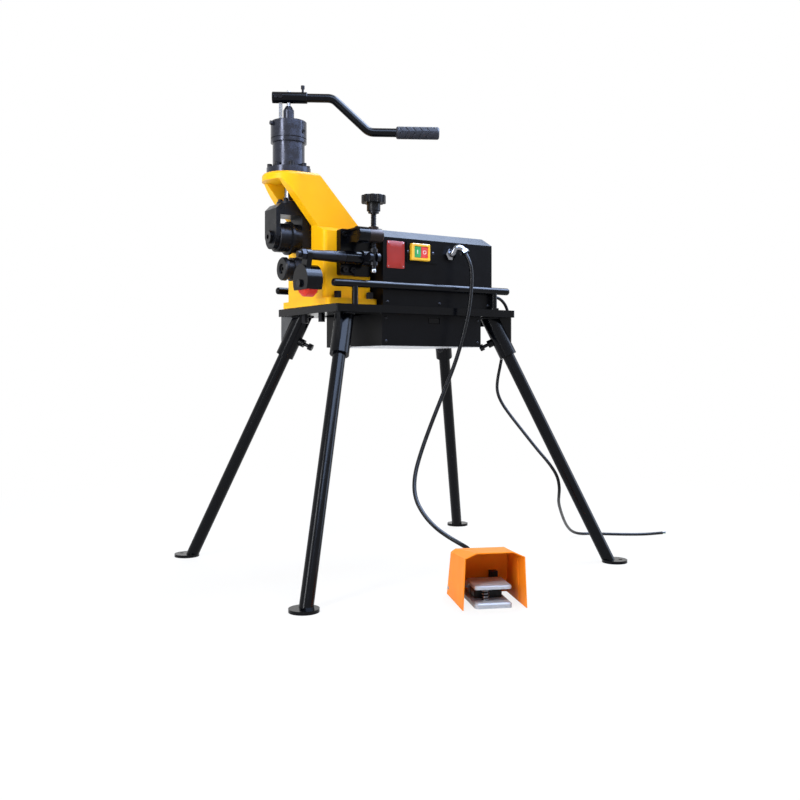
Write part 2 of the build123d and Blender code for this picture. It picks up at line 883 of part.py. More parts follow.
# Cast frame: base flange, column with the spindle bore, and the leaning arm under the ram
with BuildPart() as frame_casting:
    with BuildSketch(Plane.XZ):
        with BuildLine():
            Polyline(
                (column_front_x, slot_floor_z),
                (column_front_x, arm_front_z),
                (column_front_x - arm_run, top_plate_floor),
                (ram_x - top_plate_r, top_plate_floor),
                (ram_x - top_plate_r, top_plate_top),
                (top_plate_rear_x, top_plate_top),
                (arm_rear_x, arm_rear_z),
                (column_rear_x, arm_rear_z - (column_rear_x - arm_rear_x)),
                (column_rear_x, slot_floor_z),
                close=True,
            )
        make_face()
    extrude(amount=arm_half_width, both=True)
    with BuildSketch(Plane.XY.offset(slot_floor_z)):
        with Locations((ram_x, 0)):
            Circle(top_plate_r)
        with Locations(((ram_x + column_rear_x) / 2, 0)):
            Rectangle(column_rear_x - ram_x, 2 * arm_half_width)
    extrude(amount=top_plate_top - slot_floor_z, mode=Mode.INTERSECT)
    fillet(frame_casting.edges().group_by(Axis.Z)[-1], radius=casting_edge_r)
    with BuildSketch(Plane.YZ.offset(column_front_x)):
        with BuildLine():
            Polyline(
                (-column_width / 2, plate_top),
                (-column_width / 2, column_shoulder_z),
                (-arm_half_width, column_top_z),
                (arm_half_width, column_top_z),
                (column_width / 2, column_shoulder_z),
                (column_width / 2, plate_top),
                close=True,
            )
        make_face()
    extrude(amount=column_rear_x - column_front_x)
    column_edges = frame_casting.edges().filter_by(Axis.Z).filter_by_position(
        Axis.Z, plate_top, column_shoulder_z)
    fillet(column_edges, radius=column_corner_r)
    with BuildSketch(Plane.XY.offset(plate_top)):
        with Locations(((flange_front_x + flange_rear_x) / 2, 0)):
            RectangleRounded(flange_rear_x - flange_front_x, flange_width, flange_corner_r)
    extrude(amount=flange_thickness)
    with BuildSketch(Plane.XZ):
        with BuildLine():
            Polyline(
                (ram_x - 2 * top_plate_r, slot_floor_z),
                (slot_back_x, slot_floor_z),
                (slot_back_x, slot_back_z),
                (slot_top_x, top_plate_floor),
                (ram_x - 2 * top_plate_r, top_plate_floor),
                close=True,
            )
        make_face()
    extrude(amount=slot_half_width, both=True, mode=Mode.SUBTRACT)
    with BuildSketch(Plane.XY.offset(top_plate_floor)):
        with Locations((ram_x, 0)):
            Circle(rod_r + rod_hole_gap)
    extrude(amount=top_plate_thickness, mode=Mode.SUBTRACT)
    with BuildSketch(Plane.XY.offset(top_plate_top - flange_screw_head)):
        with Locations((ram_x, 0)):
            with PolarLocations(flange_screw_pitch_r, flange_screw_count, start_angle=flange_screw_turn):
                Circle(flange_screw_r + running_gap)
    extrude(amount=flange_screw_head, mode=Mode.SUBTRACT)
    with BuildSketch(Plane.YZ.offset(column_front_x)):
        with Locations((0, drive_axis_z)):
            Circle(bearing_outer_r - bearing_lip)
    extrude(amount=column_rear_x - column_front_x, mode=Mode.SUBTRACT)
    for bearing_x in (column_front_x, column_rear_x - bearing_width):
        with BuildSketch(Plane.YZ.offset(bearing_x)):
            with Locations((0, drive_axis_z)):
                Circle(bearing_outer_r)
        extrude(amount=bearing_width, mode=Mode.SUBTRACT)
    for bolt_x in (hold_bolt_front_x, hold_bolt_rear_x):
        with BuildSketch(Plane.XY.offset(plate_top)):
            with Locations((bolt_x, hold_bolt_y), (bolt_x, -hold_bolt_y)):
                Circle(hold_bolt_r + running_gap)
        extrude(amount=flange_thickness, mode=Mode.SUBTRACT)
    for screw_x in (bracket_front_x + bracket_screw_inset_x, bracket_rear_x - bracket_screw_inset_x):
        for screw_z in (bracket_floor_z + bracket_screw_inset_z, bracket_top_z - bracket_screw_inset_z):
            seat = Plane(origin=(screw_x, -column_width / 2, screw_z), x_dir=(1, 0, 0), z_dir=(0, 1, 0))
            with BuildSketch(seat):
                Circle(bracket_screw_r + running_gap)
            extrude(amount=bracket_screw_depth, mode=Mode.SUBTRACT)
keep(frame_casting.part, "frame_casting")

hold_bolts = []
for bolt_x in (hold_bolt_front_x, hold_bolt_rear_x):
    for bolt_y in (-hold_bolt_y, hold_bolt_y):
        seat = Plane(origin=(bolt_x, bolt_y, flange_top), x_dir=(1, 0, 0), z_dir=(0, 0, 1))
        hold_reach = flange_thickness + plate_thickness
        hold_bolts.append(hex_bolt(seat, hold_bolt_r, hold_reach, hold_bolt_af, hold_bolt_head))
keep(group(plate_bolts + hold_bolts), "frame_bolts")

# Drive spindle with its two bearings, the knurled drive roll and its bolt
front_bearing_rear = column_front_x + bearing_width
rear_bearing_front = column_rear_x - bearing_width
roll_seat_x = drive_roll_front_x + drive_recess_depth + bearing_lip
with BuildPart() as drive_spindle:
    add(turned(along_x(0, drive_axis_z), [
        (roll_seat_x, 0),
        (roll_seat_x, drive_bore_r - running_gap),
        (drive_roll_rear_x, drive_bore_r - running_gap),
        (drive_roll_rear_x, spindle_shoulder_r),
        (column_front_x, spindle_shoulder_r),
        (column_front_x, spindle_journal_r),
        (front_bearing_rear, spindle_journal_r),
        (front_bearing_rear, spindle_shoulder_r),
        (rear_bearing_front, spindle_shoulder_r),
        (rear_bearing_front, spindle_journal_r),
        (spindle_rear_x, spindle_journal_r),
        (spindle_rear_x, 0),
    ]))
    with BuildSketch(Plane.YZ.offset(roll_seat_x)):
        with Locations((0, drive_axis_z)):
            Circle(roll_bolt_r + running_gap)
    extrude(amount=roll_bolt_length, mode=Mode.SUBTRACT)
keep(drive_spindle.part, "drive_spindle")

bearings = []
for bearing_x in (column_front_x, rear_bearing_front):
    bearings.append(turned(along_x(0, drive_axis_z), [
        (bearing_x, spindle_journal_r + running_gap),
        (bearing_x, bearing_outer_r),
        (bearing_x + bearing_width, bearing_outer_r),
        (bearing_x + bearing_width, spindle_journal_r + running_gap),
    ]))
keep(group(bearings), "spindle_bearings")

groove_front = ridge_x - drive_groove_width / 2
groove_rear = ridge_x + drive_groove_width / 2
stop_front = drive_roll_rear_x - drive_stop_width
with BuildPart() as drive_roll:
    add(turned(along_x(0, drive_axis_z), [
        (drive_roll_front_x, drive_recess_r),
        (drive_roll_front_x, drive_roll_r - drive_roll_edge),
        (drive_roll_front_x + drive_roll_edge, drive_roll_r),
        (groove_front, drive_roll_r),
        (groove_front, drive_groove_r),
        (groove_rear, drive_groove_r),
        (groove_rear, drive_roll_r),
        (stop_front, drive_roll_r),
        (stop_front, drive_stop_r),
        (drive_roll_rear_x, drive_stop_r),
        (drive_roll_rear_x, drive_bore_r),
        (drive_roll_front_x + drive_recess_depth, drive_bore_r),
        (drive_roll_front_x + drive_recess_depth, drive_recess_r),
    ]))
    with BuildSketch(Plane.YZ.offset(drive_roll_front_x)):
        with Locations((0, drive_axis_z)):
            with PolarLocations(drive_roll_r, drive_flat_count):
                Circle(drive_flat_depth)
    extrude(amount=stop_front - drive_roll_front_x, mode=Mode.SUBTRACT)
keep(drive_roll.part, "drive_roll")

bolt_seat = Plane(origin=(roll_seat_x - bearing_lip, 0, drive_axis_z), x_dir=(0, 1, 0), z_dir=(-1, 0, 0))
roll_bolt = cap_screw(bolt_seat, roll_bolt_r, roll_bolt_length, roll_bolt_head_r, roll_bolt_head)
with BuildPart() as roll_bolt_washer:
    add(roll_bolt)
    with BuildSketch(bolt_seat):
        Circle(drive_bore_r - running_gap)
        Circle(roll_bolt_r, mode=Mode.SUBTRACT)
    extrude(amount=-bearing_lip)
    with BuildSketch(bolt_seat):
        Circle(drive_recess_r - slide_gap)
    extrude(amount=bearing_lip)
keep(roll_bolt_washer.part, "drive_roll_bolt")


# Gear train: the spindle's wheel and the motor's pinion, with involute teeth and some backlash
def tooth_half_angle(radius, teeth):
    """Half the angle of one tooth at a radius, by the involute of its rack."""
    def involute(angle):
        return math.tan(angle) - angle
    pitch_r = gear_module * teeth / 2
    pressure = math.radians(gear_pressure_angle)
    base_r = pitch_r * math.cos(pressure)
    here = math.acos(min(1, base_r / radius))
    return gear_backlash * math.pi / (2 * teeth) + involute(pressure) - involute(here)


def gear_outline(teeth, phase):
    """Points round a gear: root, pitch and tip on each flank of every tooth."""
    pitch_r = gear_module * teeth / 2
    radii = [pitch_r - gear_dedendum * gear_module, pitch_r, pitch_r + gear_addendum * gear_module]
    flank = [(radius, tooth_half_angle(radius, teeth)) for radius in radii]
    points = []
    for tooth in range(teeth):
        middle = phase + 2 * math.pi * tooth / teeth
        for radius, half in flank:
            points.append((radius * math.cos(middle - half), radius * math.sin(middle - half)))
        for radius, half in reversed(flank):
            points.append((radius * math.cos(middle + half), radius * math.sin(middle + half)))
    return points


def gear_plane(y):
    return Plane(origin=(gear_front_x, y, drive_axis_z), x_dir=(0, 1, 0), z_dir=(1, 0, 0))


with BuildPart() as spindle_gear:
    with BuildSketch(gear_plane(0)):
        with BuildLine():
            Polyline(*gear_outline(gear_teeth, 0), close=True)
        make_face()
        Circle(spindle_journal_r, mode=Mode.SUBTRACT)
    extrude(amount=gear_width)
    with BuildSketch(gear_plane(0)):
        Circle(gear_hub_r)
        Circle(spindle_journal_r, mode=Mode.SUBTRACT)
    extrude(amount=column_rear_x + face_gap - gear_front_x)
keep(spindle_gear.part, "spindle_gear")

with BuildPart() as motor_pinion:
    with BuildSketch(gear_plane(gear_centre)):
        with BuildLine():
            Polyline(*gear_outline(pinion_teeth, math.pi + math.pi / pinion_teeth), close=True)
        make_face()
    extrude(amount=gear_width)
    with BuildSketch(gear_plane(gear_centre)):
        Circle(pinion_shaft_r)
    extrude(amount=motor_front_x + motor_shaft_depth - gear_front_x)
keep(motor_pinion.part, "motor_pinion")

# Geared motor: finned barrel between two end bells, on a foot that stands on the plate
motor_rear_x = motor_front_x + motor_length
with BuildPart() as gear_motor:
    with BuildSketch(Plane.YZ.offset(motor_front_x)):
        with Locations((gear_centre, drive_axis_z)):
            Circle(motor_bell_r)
    extrude(amount=motor_length)
    with BuildSketch(Plane.YZ.offset(motor_front_x + motor_bell_length)):
        with Locations((gear_centre, drive_axis_z)):
            Circle(motor_r)
            with PolarLocations(motor_r, motor_fin_count):
                Rectangle(2 * motor_fin_depth, 2 * motor_fin_depth, mode=Mode.SUBTRACT)
    extrude(amount=motor_length - 2 * motor_bell_length)
    with BuildSketch(Plane.XY.offset(plate_top)):
        with Locations(((motor_front_x + motor_rear_x) / 2, gear_centre)):
            Rectangle(motor_length - 2 * motor_bell_length, motor_foot_width)
    extrude(amount=motor_foot_thickness)
    with BuildSketch(Plane.XY.offset(plate_top)):
        with Locations(((motor_front_x + motor_rear_x) / 2, gear_centre)):
            Rectangle(motor_length - 3 * motor_bell_length, motor_foot_width / 2)
    extrude(amount=drive_axis_z - plate_top - motor_bell_r / 2)
    with BuildSketch(Plane.YZ.offset(motor_front_x)):
        with Locations((gear_centre, drive_axis_z)):
            Circle(pinion_shaft_r + running_gap)
    extrude(amount=motor_shaft_depth + face_gap, mode=Mode.SUBTRACT)
keep(gear_motor.part, "gear_motor")

# Ram: chrome rod with its piston, its lower end seated in the yoke's boss
with BuildPart() as ram_rod:
    add(turned(along_z(ram_x, 0), stepped(rod_foot_z, [
        (piston_z - rod_foot_z, rod_r),
        (piston_height, piston_r - running_gap),
    ])))
keep(ram_rod.part, "ram_rod")

# Cylinder: flanged barrel, with the head that carries the hand pump screwed on top
with BuildPart() as cylinder_barrel:
    add(turned(along_z(ram_x, 0), [
        (top_plate_top, rod_r + running_gap),
        (top_plate_top, cylinder_flange_r),
        (top_plate_top + cylinder_flange_height, cylinder_flange_r),
        (top_plate_top + cylinder_flange_height, cylinder_r),
        (head_z, cylinder_r),
        (head_z, piston_r),
        (top_plate_top + cylinder_flange_height, piston_r),
        (top_plate_top + cylinder_flange_height, rod_r + running_gap),
    ]))
    with BuildSketch(Plane.XY.offset(top_plate_top)):
        with Locations((ram_x, 0)):
            with PolarLocations(flange_screw_pitch_r, flange_screw_count, start_angle=flange_screw_turn):
                Circle(flange_screw_r + running_gap)
    extrude(amount=cylinder_flange_height, mode=Mode.SUBTRACT)
keep(cylinder_barrel.part, "cylinder_barrel")

flange_screws = []
for index in range(flange_screw_count):
    turn = math.radians(flange_screw_turn + 360 * index / flange_screw_count)
    seat = Plane(origin=(
        ram_x + flange_screw_pitch_r * math.cos(turn),
        flange_screw_pitch_r * math.sin(turn),
        top_plate_top + cylinder_flange_height))
    flange_screws.append(cap_screw(
        seat, flange_screw_r, cylinder_flange_height + flange_screw_head - face_gap, flange_screw_head_r,
        flange_screw_head))
keep(group(flange_screws), "flange_screws")


def around_ram(turn, z):
    """Plane on the cylinder's axis, looking outwards at an angle in plan."""
    out = Vector(math.cos(math.radians(turn)), math.sin(math.radians(turn)), 0)
    return Plane(origin=(ram_x, 0, z), x_dir=(0, 0, 1), z_dir=out)


with BuildPart() as cylinder_head:
    add(turned(along_z(ram_x, 0), [
        (head_z, 0),
        (head_z, head_r),
        (head_groove_z, head_r),
        (head_groove_z, head_r - head_groove_depth),
        (head_groove_z + head_groove_height, head_r - head_groove_depth),
        (head_groove_z + head_groove_height, head_r),
        (head_top - head_edge, head_r),
        (head_top, head_r - head_edge),
        (head_top, neck_ring_r),
        (head_top + neck_ring_height, neck_ring_r),
        (head_top + neck_ring_height, neck_r),
        (neck_shoulder_z, neck_r),
        (neck_tip_z, neck_tip_r),
        (neck_tip_z, 0),
    ]))
    with BuildSketch(Plane.XY.offset(plunger_bore_floor_z)):
        with Locations((ram_x, 0)):
            Circle(plunger_r + running_gap)
    extrude(amount=neck_tip_z - plunger_bore_floor_z, mode=Mode.SUBTRACT)
    with BuildSketch(around_ram(valve_turn, valve_z).offset(head_r - valve_depth)):
        Circle(valve_r + running_gap)
    extrude(amount=valve_depth, mode=Mode.SUBTRACT)
    with BuildSketch(around_ram(filler_turn, filler_z).offset(head_r - 2 * filler_reach)):
        RegularPolygon(filler_r, 6)
    extrude(amount=3 * filler_reach)
keep(cylinder_head.part, "cylinder_head")

with BuildPart() as release_valve:
    with BuildSketch(around_ram(valve_turn, valve_z).offset(head_r - valve_depth + face_gap)):
        Circle(valve_r)
    extrude(amount=valve_depth + valve_proud - face_gap)
    with BuildSketch(around_ram(valve_turn, valve_z).offset(head_r + valve_proud)):
        RegularPolygon(valve_socket_r, 6)
    extrude(amount=-valve_socket_depth, mode=Mode.SUBTRACT)
keep(release_valve.part, "release_valve")

# Hand pump: fixed link, pins, plunger and the lever in its socket, drawn in the lever's own plane
lever_cos = math.cos(math.radians(lever_turn))
lever_sin = math.sin(math.radians(lever_turn))
lever_plane = Plane(
    origin=(ram_x, 0, lever_z), x_dir=(lever_cos, lever_sin, 0), z_dir=(lever_sin, -lever_cos, 0))


def lever_axis(s, t=0):
    """Plane square to the lever's line at a distance s along it and t above it."""
    return Plane(origin=lever_plane.from_local_coords((s, t, 0)), x_dir=(0, 0, 1), z_dir=lever_plane.x_dir)


def lever_side(s, t=0):
    """The lever's own plane with its origin at a pin."""
    place = lever_plane.from_local_coords((s, t, 0))
    return Plane(origin=place, x_dir=lever_plane.x_dir, z_dir=lever_plane.z_dir)


with BuildPart() as fulcrum_link:
    link_low = head_top - lever_z
    with BuildSketch(lever_side(fulcrum_s)):
        Circle(link_eye_r)
        with Locations((0, link_low / 2)):
            Rectangle(link_width, -link_low)
    extrude(amount=link_thickness / 2, both=True)
    with BuildSketch(lever_side(fulcrum_s, link_low)):
        with Locations((-link_width / 2, link_foot_height / 2)):
            Rectangle(link_foot_length - link_width, link_foot_height)
    extrude(amount=link_thickness / 2, both=True)
    with BuildSketch(lever_side(fulcrum_s)):
        Circle(pump_pin_r + running_gap)
    extrude(amount=link_thickness, both=True, mode=Mode.SUBTRACT)
    with BuildSketch(Plane.XY.offset(head_top)):
        with Locations((ram_x, 0)):
            Circle(neck_ring_r + face_gap)
    extrude(amount=link_foot_height + neck_ring_height, mode=Mode.SUBTRACT)
keep(fulcrum_link.part, "fulcrum_link")

pump_pins = []
pin_sizes = ((fulcrum_s, pump_pin_r, pump_pin_head_r), (end_bolt_s, end_bolt_r, end_bolt_head_r))
for pin_s, pin_r, pin_head_r in pin_sizes:
    with BuildPart() as pump_pin:
        with BuildSketch(lever_side(pin_s)):
            Circle(pin_r)
        extrude(amount=lever_socket_r, both=True)
        for face in (1, -1):
            with BuildSketch(lever_side(pin_s).offset(face * (lever_socket_r - pump_pin_seat))):
                Circle(pin_head_r)
            extrude(amount=face * pump_pin_head)
    pump_pins.append(pump_pin.part)

with BuildPart() as pump_plunger:
    with BuildSketch(Plane.XY.offset(plunger_foot_z)):
        with Locations((ram_x, 0)):
            Circle(plunger_r)
    extrude(amount=plunger_top_z - plunger_foot_z)
    fillet(pump_plunger.edges().group_by(Axis.Z)[-1], radius=plunger_round)
    with BuildSketch(lever_side(0)):
        Circle(plunger_pin_r)
    extrude(amount=plunger_pin_length / 2, both=True)
keep(pump_plunger.part, "pump_plunger")

thumb_place = lever_plane.from_local_coords((thumb_s, 0, 0))
with BuildPart() as lever_socket:
    with BuildSketch(lever_axis(lever_socket_start)):
        Circle(lever_socket_r)
    extrude(amount=lever_socket_end - lever_socket_start)
    fillet(lever_socket.edges().filter_by(GeomType.CIRCLE), radius=lever_socket_edge)
    with BuildSketch(lever_axis(lever_slot_start)):
        Circle(lever_tube_r + running_gap)
    extrude(amount=lever_socket_end - lever_slot_start, mode=Mode.SUBTRACT)
    with BuildSketch(lever_side((lever_slot_start + lever_slot_end) / 2, -lever_socket_r)):
        Rectangle(lever_slot_end - lever_slot_start, 2 * lever_socket_r)
    extrude(amount=lever_slot_width / 2, both=True, mode=Mode.SUBTRACT)
    with BuildSketch(lever_side((plunger_slot_start + plunger_slot_end) / 2, lever_socket_r)):
        Rectangle(plunger_slot_end - plunger_slot_start, 2 * lever_socket_r)
    extrude(amount=lever_slot_width / 2, both=True, mode=Mode.SUBTRACT)
    for pin_s, pin_r in ((fulcrum_s, pump_pin_r), (end_bolt_s, end_bolt_r)):
        with BuildSketch(lever_side(pin_s)):
            Circle(pin_r + running_gap)
        extrude(amount=2 * lever_socket_r, both=True, mode=Mode.SUBTRACT)
        for face in (1, -1):
            with BuildSketch(lever_side(pin_s).offset(face * lever_socket_r)):
                Circle(pump_pin_head_r + slide_gap)
            extrude(amount=-face * pump_pin_seat, mode=Mode.SUBTRACT)
    with BuildSketch(Plane.XY.offset(lever_z)):
        with Locations((thumb_place.X, thumb_place.Y)):
            Circle(thumb_r + running_gap)
    extrude(amount=2 * lever_socket_r, mode=Mode.SUBTRACT)
keep(lever_socket.part, "lever_socket")

lever_path_points = [
    (lever_tube_start, 0),
    (lever_bend_1, 0),
    (lever_bend_2, -lever_drop),
    (grip_end - grip_end_wall, -lever_drop),
]
with BuildPart() as lever_tube:
    with BuildLine(lever_plane) as lever_path:
        FilletPolyline(*lever_path_points, radius=lever_bend_r)
    with BuildSketch(lever_axis(lever_tube_start)):
        Circle(lever_tube_r)
        Circle(lever_tube_r - lever_wall, mode=Mode.SUBTRACT)
    sweep(path=lever_path.line)
keep(lever_tube.part, "lever_tube")

with BuildPart() as lever_grip:
    with BuildSketch(lever_axis(grip_start, -lever_drop)):
        Circle(grip_r)
    extrude(amount=grip_end - grip_start)
    fillet(lever_grip.edges().filter_by(GeomType.CIRCLE), radius=grip_edge_r)
    with BuildSketch(lever_axis(grip_start, -lever_drop)):
        Circle(lever_tube_r + running_gap)
    extrude(amount=grip_end - grip_end_wall - grip_start, mode=Mode.SUBTRACT)
keep(lever_grip.part, "lever_grip")

thumb_screw = turned(along_z(thumb_place.X, thumb_place.Y), stepped(lever_z + lever_tube_r + running_gap, [
    (thumb_reach - thumb_head - lever_tube_r - running_gap, thumb_r),
    (thumb_head, thumb_head_r),
]))
keep(group(pump_pins + [thumb_screw]), "lever_pins")

# Yoke: front arm with a round foot, bridge and rear guide block in one piece
with BuildPart() as yoke:
    with BuildSketch(Plane.YZ.offset(yoke_front_x)):
        with Locations((0, upper_axis_z)):
            Circle(yoke_foot_r)
        with Locations((0, (upper_axis_z + yoke_top_z) / 2)):
            Rectangle(2 * yoke_half_width, yoke_top_z - upper_axis_z)
    extrude(amount=yoke_front_thickness)
    with BuildSketch(Plane.XZ):
        with BuildLine():
            Polyline(
                (yoke_front_x, yoke_bridge_z),
                (yoke_front_x, yoke_top_z),
                (yoke_bridge_rear_x, yoke_top_z),
                (yoke_bridge_rear_x, yoke_guide_top_z),
                (yoke_back_x, yoke_guide_top_z),
                (yoke_back_x, yoke_back_foot_z),
                (yoke_rear_x, yoke_back_foot_z),
                (yoke_rear_x, yoke_bridge_z),
                close=True,
            )
        make_face()
    extrude(amount=yoke_half_width, both=True)
    front_top = yoke.edges().filter_by(Axis.Y).group_by(Axis.Z)[-1].sort_by(Axis.X)[0]
    chamfer(front_top, length=yoke_chamfer)
    with BuildSketch(Plane.YZ.offset(yoke_front_x)):
        with Locations((0, upper_axis_z)):
            Circle(upper_axle_r)
    extrude(amount=upper_axle_rear_x - yoke_front_x, mode=Mode.SUBTRACT)
    with BuildSketch(Plane.XY.offset(yoke_top_z)):
        with Locations((ram_x, 0)):
            Circle(yoke_boss_r)
    extrude(amount=yoke_boss)
    with BuildSketch(Plane.XY.offset(rod_foot_z)):
        with Locations((ram_x, 0)):
            Circle(rod_r + running_gap)
    extrude(amount=rod_seat + yoke_boss, mode=Mode.SUBTRACT)
    with BuildSketch(Plane.XY.offset(yoke_top_z - yoke_screw_depth)):
        with Locations((ram_x, 0)):
            with PolarLocations(yoke_screw_pitch_r, yoke_screw_count, start_angle=yoke_screw_turn):
                Circle(yoke_screw_r + running_gap)
    extrude(amount=yoke_screw_depth + yoke_boss, mode=Mode.SUBTRACT)
keep(yoke.part, "yoke")

yoke_screws = []
for index in range(yoke_screw_count):
    turn = math.radians(yoke_screw_turn + 360 * index / yoke_screw_count)
    seat = Plane(origin=(
        ram_x + yoke_screw_pitch_r * math.cos(turn),
        yoke_screw_pitch_r * math.sin(turn),
        yoke_top_z + yoke_boss))
    yoke_screws.append(cap_screw(
        seat, yoke_screw_r, yoke_boss + yoke_screw_depth - face_gap, yoke_screw_head_r, yoke_screw_head))
keep(group(yoke_screws), "yoke_screws")

with BuildPart() as upper_axle:
    add(turned(along_x(0, upper_axis_z), stepped(yoke_front_x - axle_head, [
        (axle_head, axle_head_r),
        (upper_axle_rear_x - yoke_front_x, upper_axle_r),
    ])))
    with BuildSketch(Plane.YZ.offset(yoke_front_x - axle_head)):
        with Locations((0, upper_axis_z)):
            RegularPolygon(hex_recess_af / 2, 6, major_radius=False)
    extrude(amount=hex_recess_depth, mode=Mode.SUBTRACT)
keep(upper_axle.part, "upper_roll_axle")

keep(turned(along_x(0, upper_axis_z), [
    (yoke_front_back_x + roll_side_gap, upper_axle_r + running_gap),
    (yoke_front_back_x + roll_side_gap, upper_roll_r - upper_roll_edge),
    (yoke_front_back_x + roll_side_gap + upper_roll_edge, upper_roll_r),
    (ridge_x - ridge_width / 2, upper_roll_r),
    (ridge_x - ridge_width / 2 + ridge_flank, ridge_r),
    (ridge_x + ridge_width / 2 - ridge_flank, ridge_r),
    (ridge_x + ridge_width / 2, upper_roll_r),
    (yoke_rear_x - roll_side_gap, upper_roll_r),
    (yoke_rear_x - roll_side_gap, upper_axle_r + running_gap),
]), "upper_roll")

# Pipe stabiliser: bracket with the swing shaft's sleeve and the boss of the swivel nut
with BuildPart() as stabiliser_bracket:
    with BuildSketch(Plane(origin=(0, -column_width / 2, 0), x_dir=(1, 0, 0), z_dir=(0, -1, 0))):
        with Locations(((bracket_front_x + bracket_rear_x) / 2, (bracket_floor_z + bracket_top_z) / 2)):
            RectangleRounded(bracket_rear_x - bracket_front_x, bracket_top_z - bracket_floor_z, bracket_corner_r)
    extrude(amount=bracket_thickness)
    with BuildSketch(Plane.YZ.offset(bracket_front_x)):
        with Locations((swing_y, swing_z)):
            Circle(swing_sleeve_r)
        with Locations(((swing_y + bracket_face_y) / 2, swing_z)):
            Rectangle(bracket_face_y - swing_y, swing_web_height)
    extrude(amount=swing_sleeve_rear_x - bracket_front_x)
    with BuildSketch(Plane.YZ.offset(swivel_web_x)):
        with Locations((fork_y, swivel_z)):
            Circle(swivel_boss_r)
        with Locations(((fork_y + bracket_face_y) / 2, swivel_z)):
            Rectangle(bracket_face_y - fork_y, swivel_web_height)
    extrude(amount=bracket_rear_x - swivel_web_x)
    with BuildSketch(Plane.YZ.offset(bracket_front_x)):
        with Locations((swing_y, swing_z)):
            Circle(swing_shaft_r + running_gap)
    extrude(amount=swing_sleeve_rear_x - bracket_front_x, mode=Mode.SUBTRACT)
    for screw_x in (bracket_front_x + bracket_screw_inset_x, bracket_rear_x - bracket_screw_inset_x):
        for screw_z in (bracket_floor_z + bracket_screw_inset_z, bracket_top_z - bracket_screw_inset_z):
            with BuildSketch(Plane(origin=(screw_x, bracket_face_y, screw_z), x_dir=(1, 0, 0), z_dir=(0, 1, 0))):
                Circle(bracket_screw_r + running_gap)
            extrude(amount=bracket_thickness, mode=Mode.SUBTRACT)
            with BuildSketch(Plane(origin=(screw_x, bracket_face_y, screw_z), x_dir=(1, 0, 0), z_dir=(0, -1, 0))):
                Circle(bracket_screw_head_r + slide_gap)
            extrude(amount=fork_arm + swivel_boss_r, mode=Mode.SUBTRACT)
keep(stabiliser_bracket.part, "stabiliser_bracket")

bracket_screws = []
for screw_x in (bracket_front_x + bracket_screw_inset_x, bracket_rear_x - bracket_screw_inset_x):
    for screw_z in (bracket_floor_z + bracket_screw_inset_z, bracket_top_z - bracket_screw_inset_z):
        seat = Plane(origin=(screw_x, bracket_face_y, screw_z), x_dir=(1, 0, 0), z_dir=(0, -1, 0))
        bracket_screws.append(cap_screw(
            seat, bracket_screw_r, bracket_thickness + bracket_screw_depth - face_gap, bracket_screw_head_r,
            bracket_screw_head))
keep(group(bracket_screws), "bracket_screws")

with BuildPart() as swivel_nut:
    with BuildSketch(Plane.YZ.offset(bracket_rear_x)):
        with Locations((fork_y, swivel_z)):
            Circle(swivel_r)
    extrude(amount=swivel_end_x - bracket_rear_x)
    chamfer(swivel_nut.edges().filter_by(GeomType.CIRCLE).sort_by(Axis.X)[-1], length=swivel_edge)
    with BuildSketch(Plane.XY.offset(swivel_z)):
        with Locations((fork_x, fork_y)):
            Circle(swivel_collar_r)
    extrude(amount=swivel_collar_z - swivel_z)
    with BuildSketch(Plane.XY.offset(swivel_z - 2 * swivel_r)):
        with Locations((fork_x, fork_y)):
            Circle(screw_r + running_gap)
    extrude(amount=4 * swivel_r, mode=Mode.SUBTRACT)
keep(swivel_nut.part, "swivel_nut")

# Crank: a narrow arm on the swing shaft, and the drum that guards the guide roller
fork_rear_x = fork_x + fork_gap / 2 + fork_cheek
with BuildPart() as crank_arm:
    with BuildSketch(Plane.YZ.offset(guard_back_x)):
        with Locations((swing_y, swing_z), (guard_y, guard_z)):
            Circle(crank_hub_r)
        make_hull()
        with Locations((guard_y, guard_z)):
            Circle(guard_r - guard_wall, mode=Mode.SUBTRACT)
        with Locations((swing_y, swing_z)):
            Circle(swing_nose_r + running_gap, mode=Mode.SUBTRACT)
    extrude(amount=crank_thickness)
    with BuildSketch(Plane.YZ.offset(guard_front_x)):
        with Locations((guard_y, guard_z)):
            Circle(guard_r)
        with Locations((guard_y, guard_cut_z - guard_r)):
            Rectangle(4 * guard_r, 2 * guard_r, mode=Mode.SUBTRACT)
        with Locations((guard_y, guide_roller_z)):
            Circle(guide_axle_r + running_gap, mode=Mode.SUBTRACT)
    extrude(amount=guard_sheet)
    with BuildSketch(Plane.YZ.offset(guard_back_x)):
        with Locations((guard_y, guard_z)):
            Circle(guard_r)
            Circle(guard_r - guard_wall, mode=Mode.SUBTRACT)
        with Locations((guard_y, guard_cut_z - guard_r)):
            Rectangle(4 * guard_r, 2 * guard_r, mode=Mode.SUBTRACT)
        with Locations((guard_y + guard_r, guard_open_z - guard_r)):
            Rectangle(guard_r, 2 * guard_r, mode=Mode.SUBTRACT)
    extrude(amount=guard_rear_x - guard_back_x)
keep(crank_arm.part, "crank_guard")

roller_front_x = guard_back_x + roll_side_gap
roller_rear_x = roller_front_x + guide_roller_length
keep(turned(along_x(guard_y, guide_roller_z), [
    (roller_front_x, guide_axle_r + running_gap),
    (roller_front_x, guide_roller_r - guide_roller_chamfer),
    (roller_front_x + guide_roller_chamfer, guide_roller_r),
    (roller_rear_x - guide_roller_chamfer, guide_roller_r),
    (roller_rear_x, guide_roller_r - guide_roller_chamfer),
    (roller_rear_x, guide_axle_r + running_gap),
]), "guide_roller")

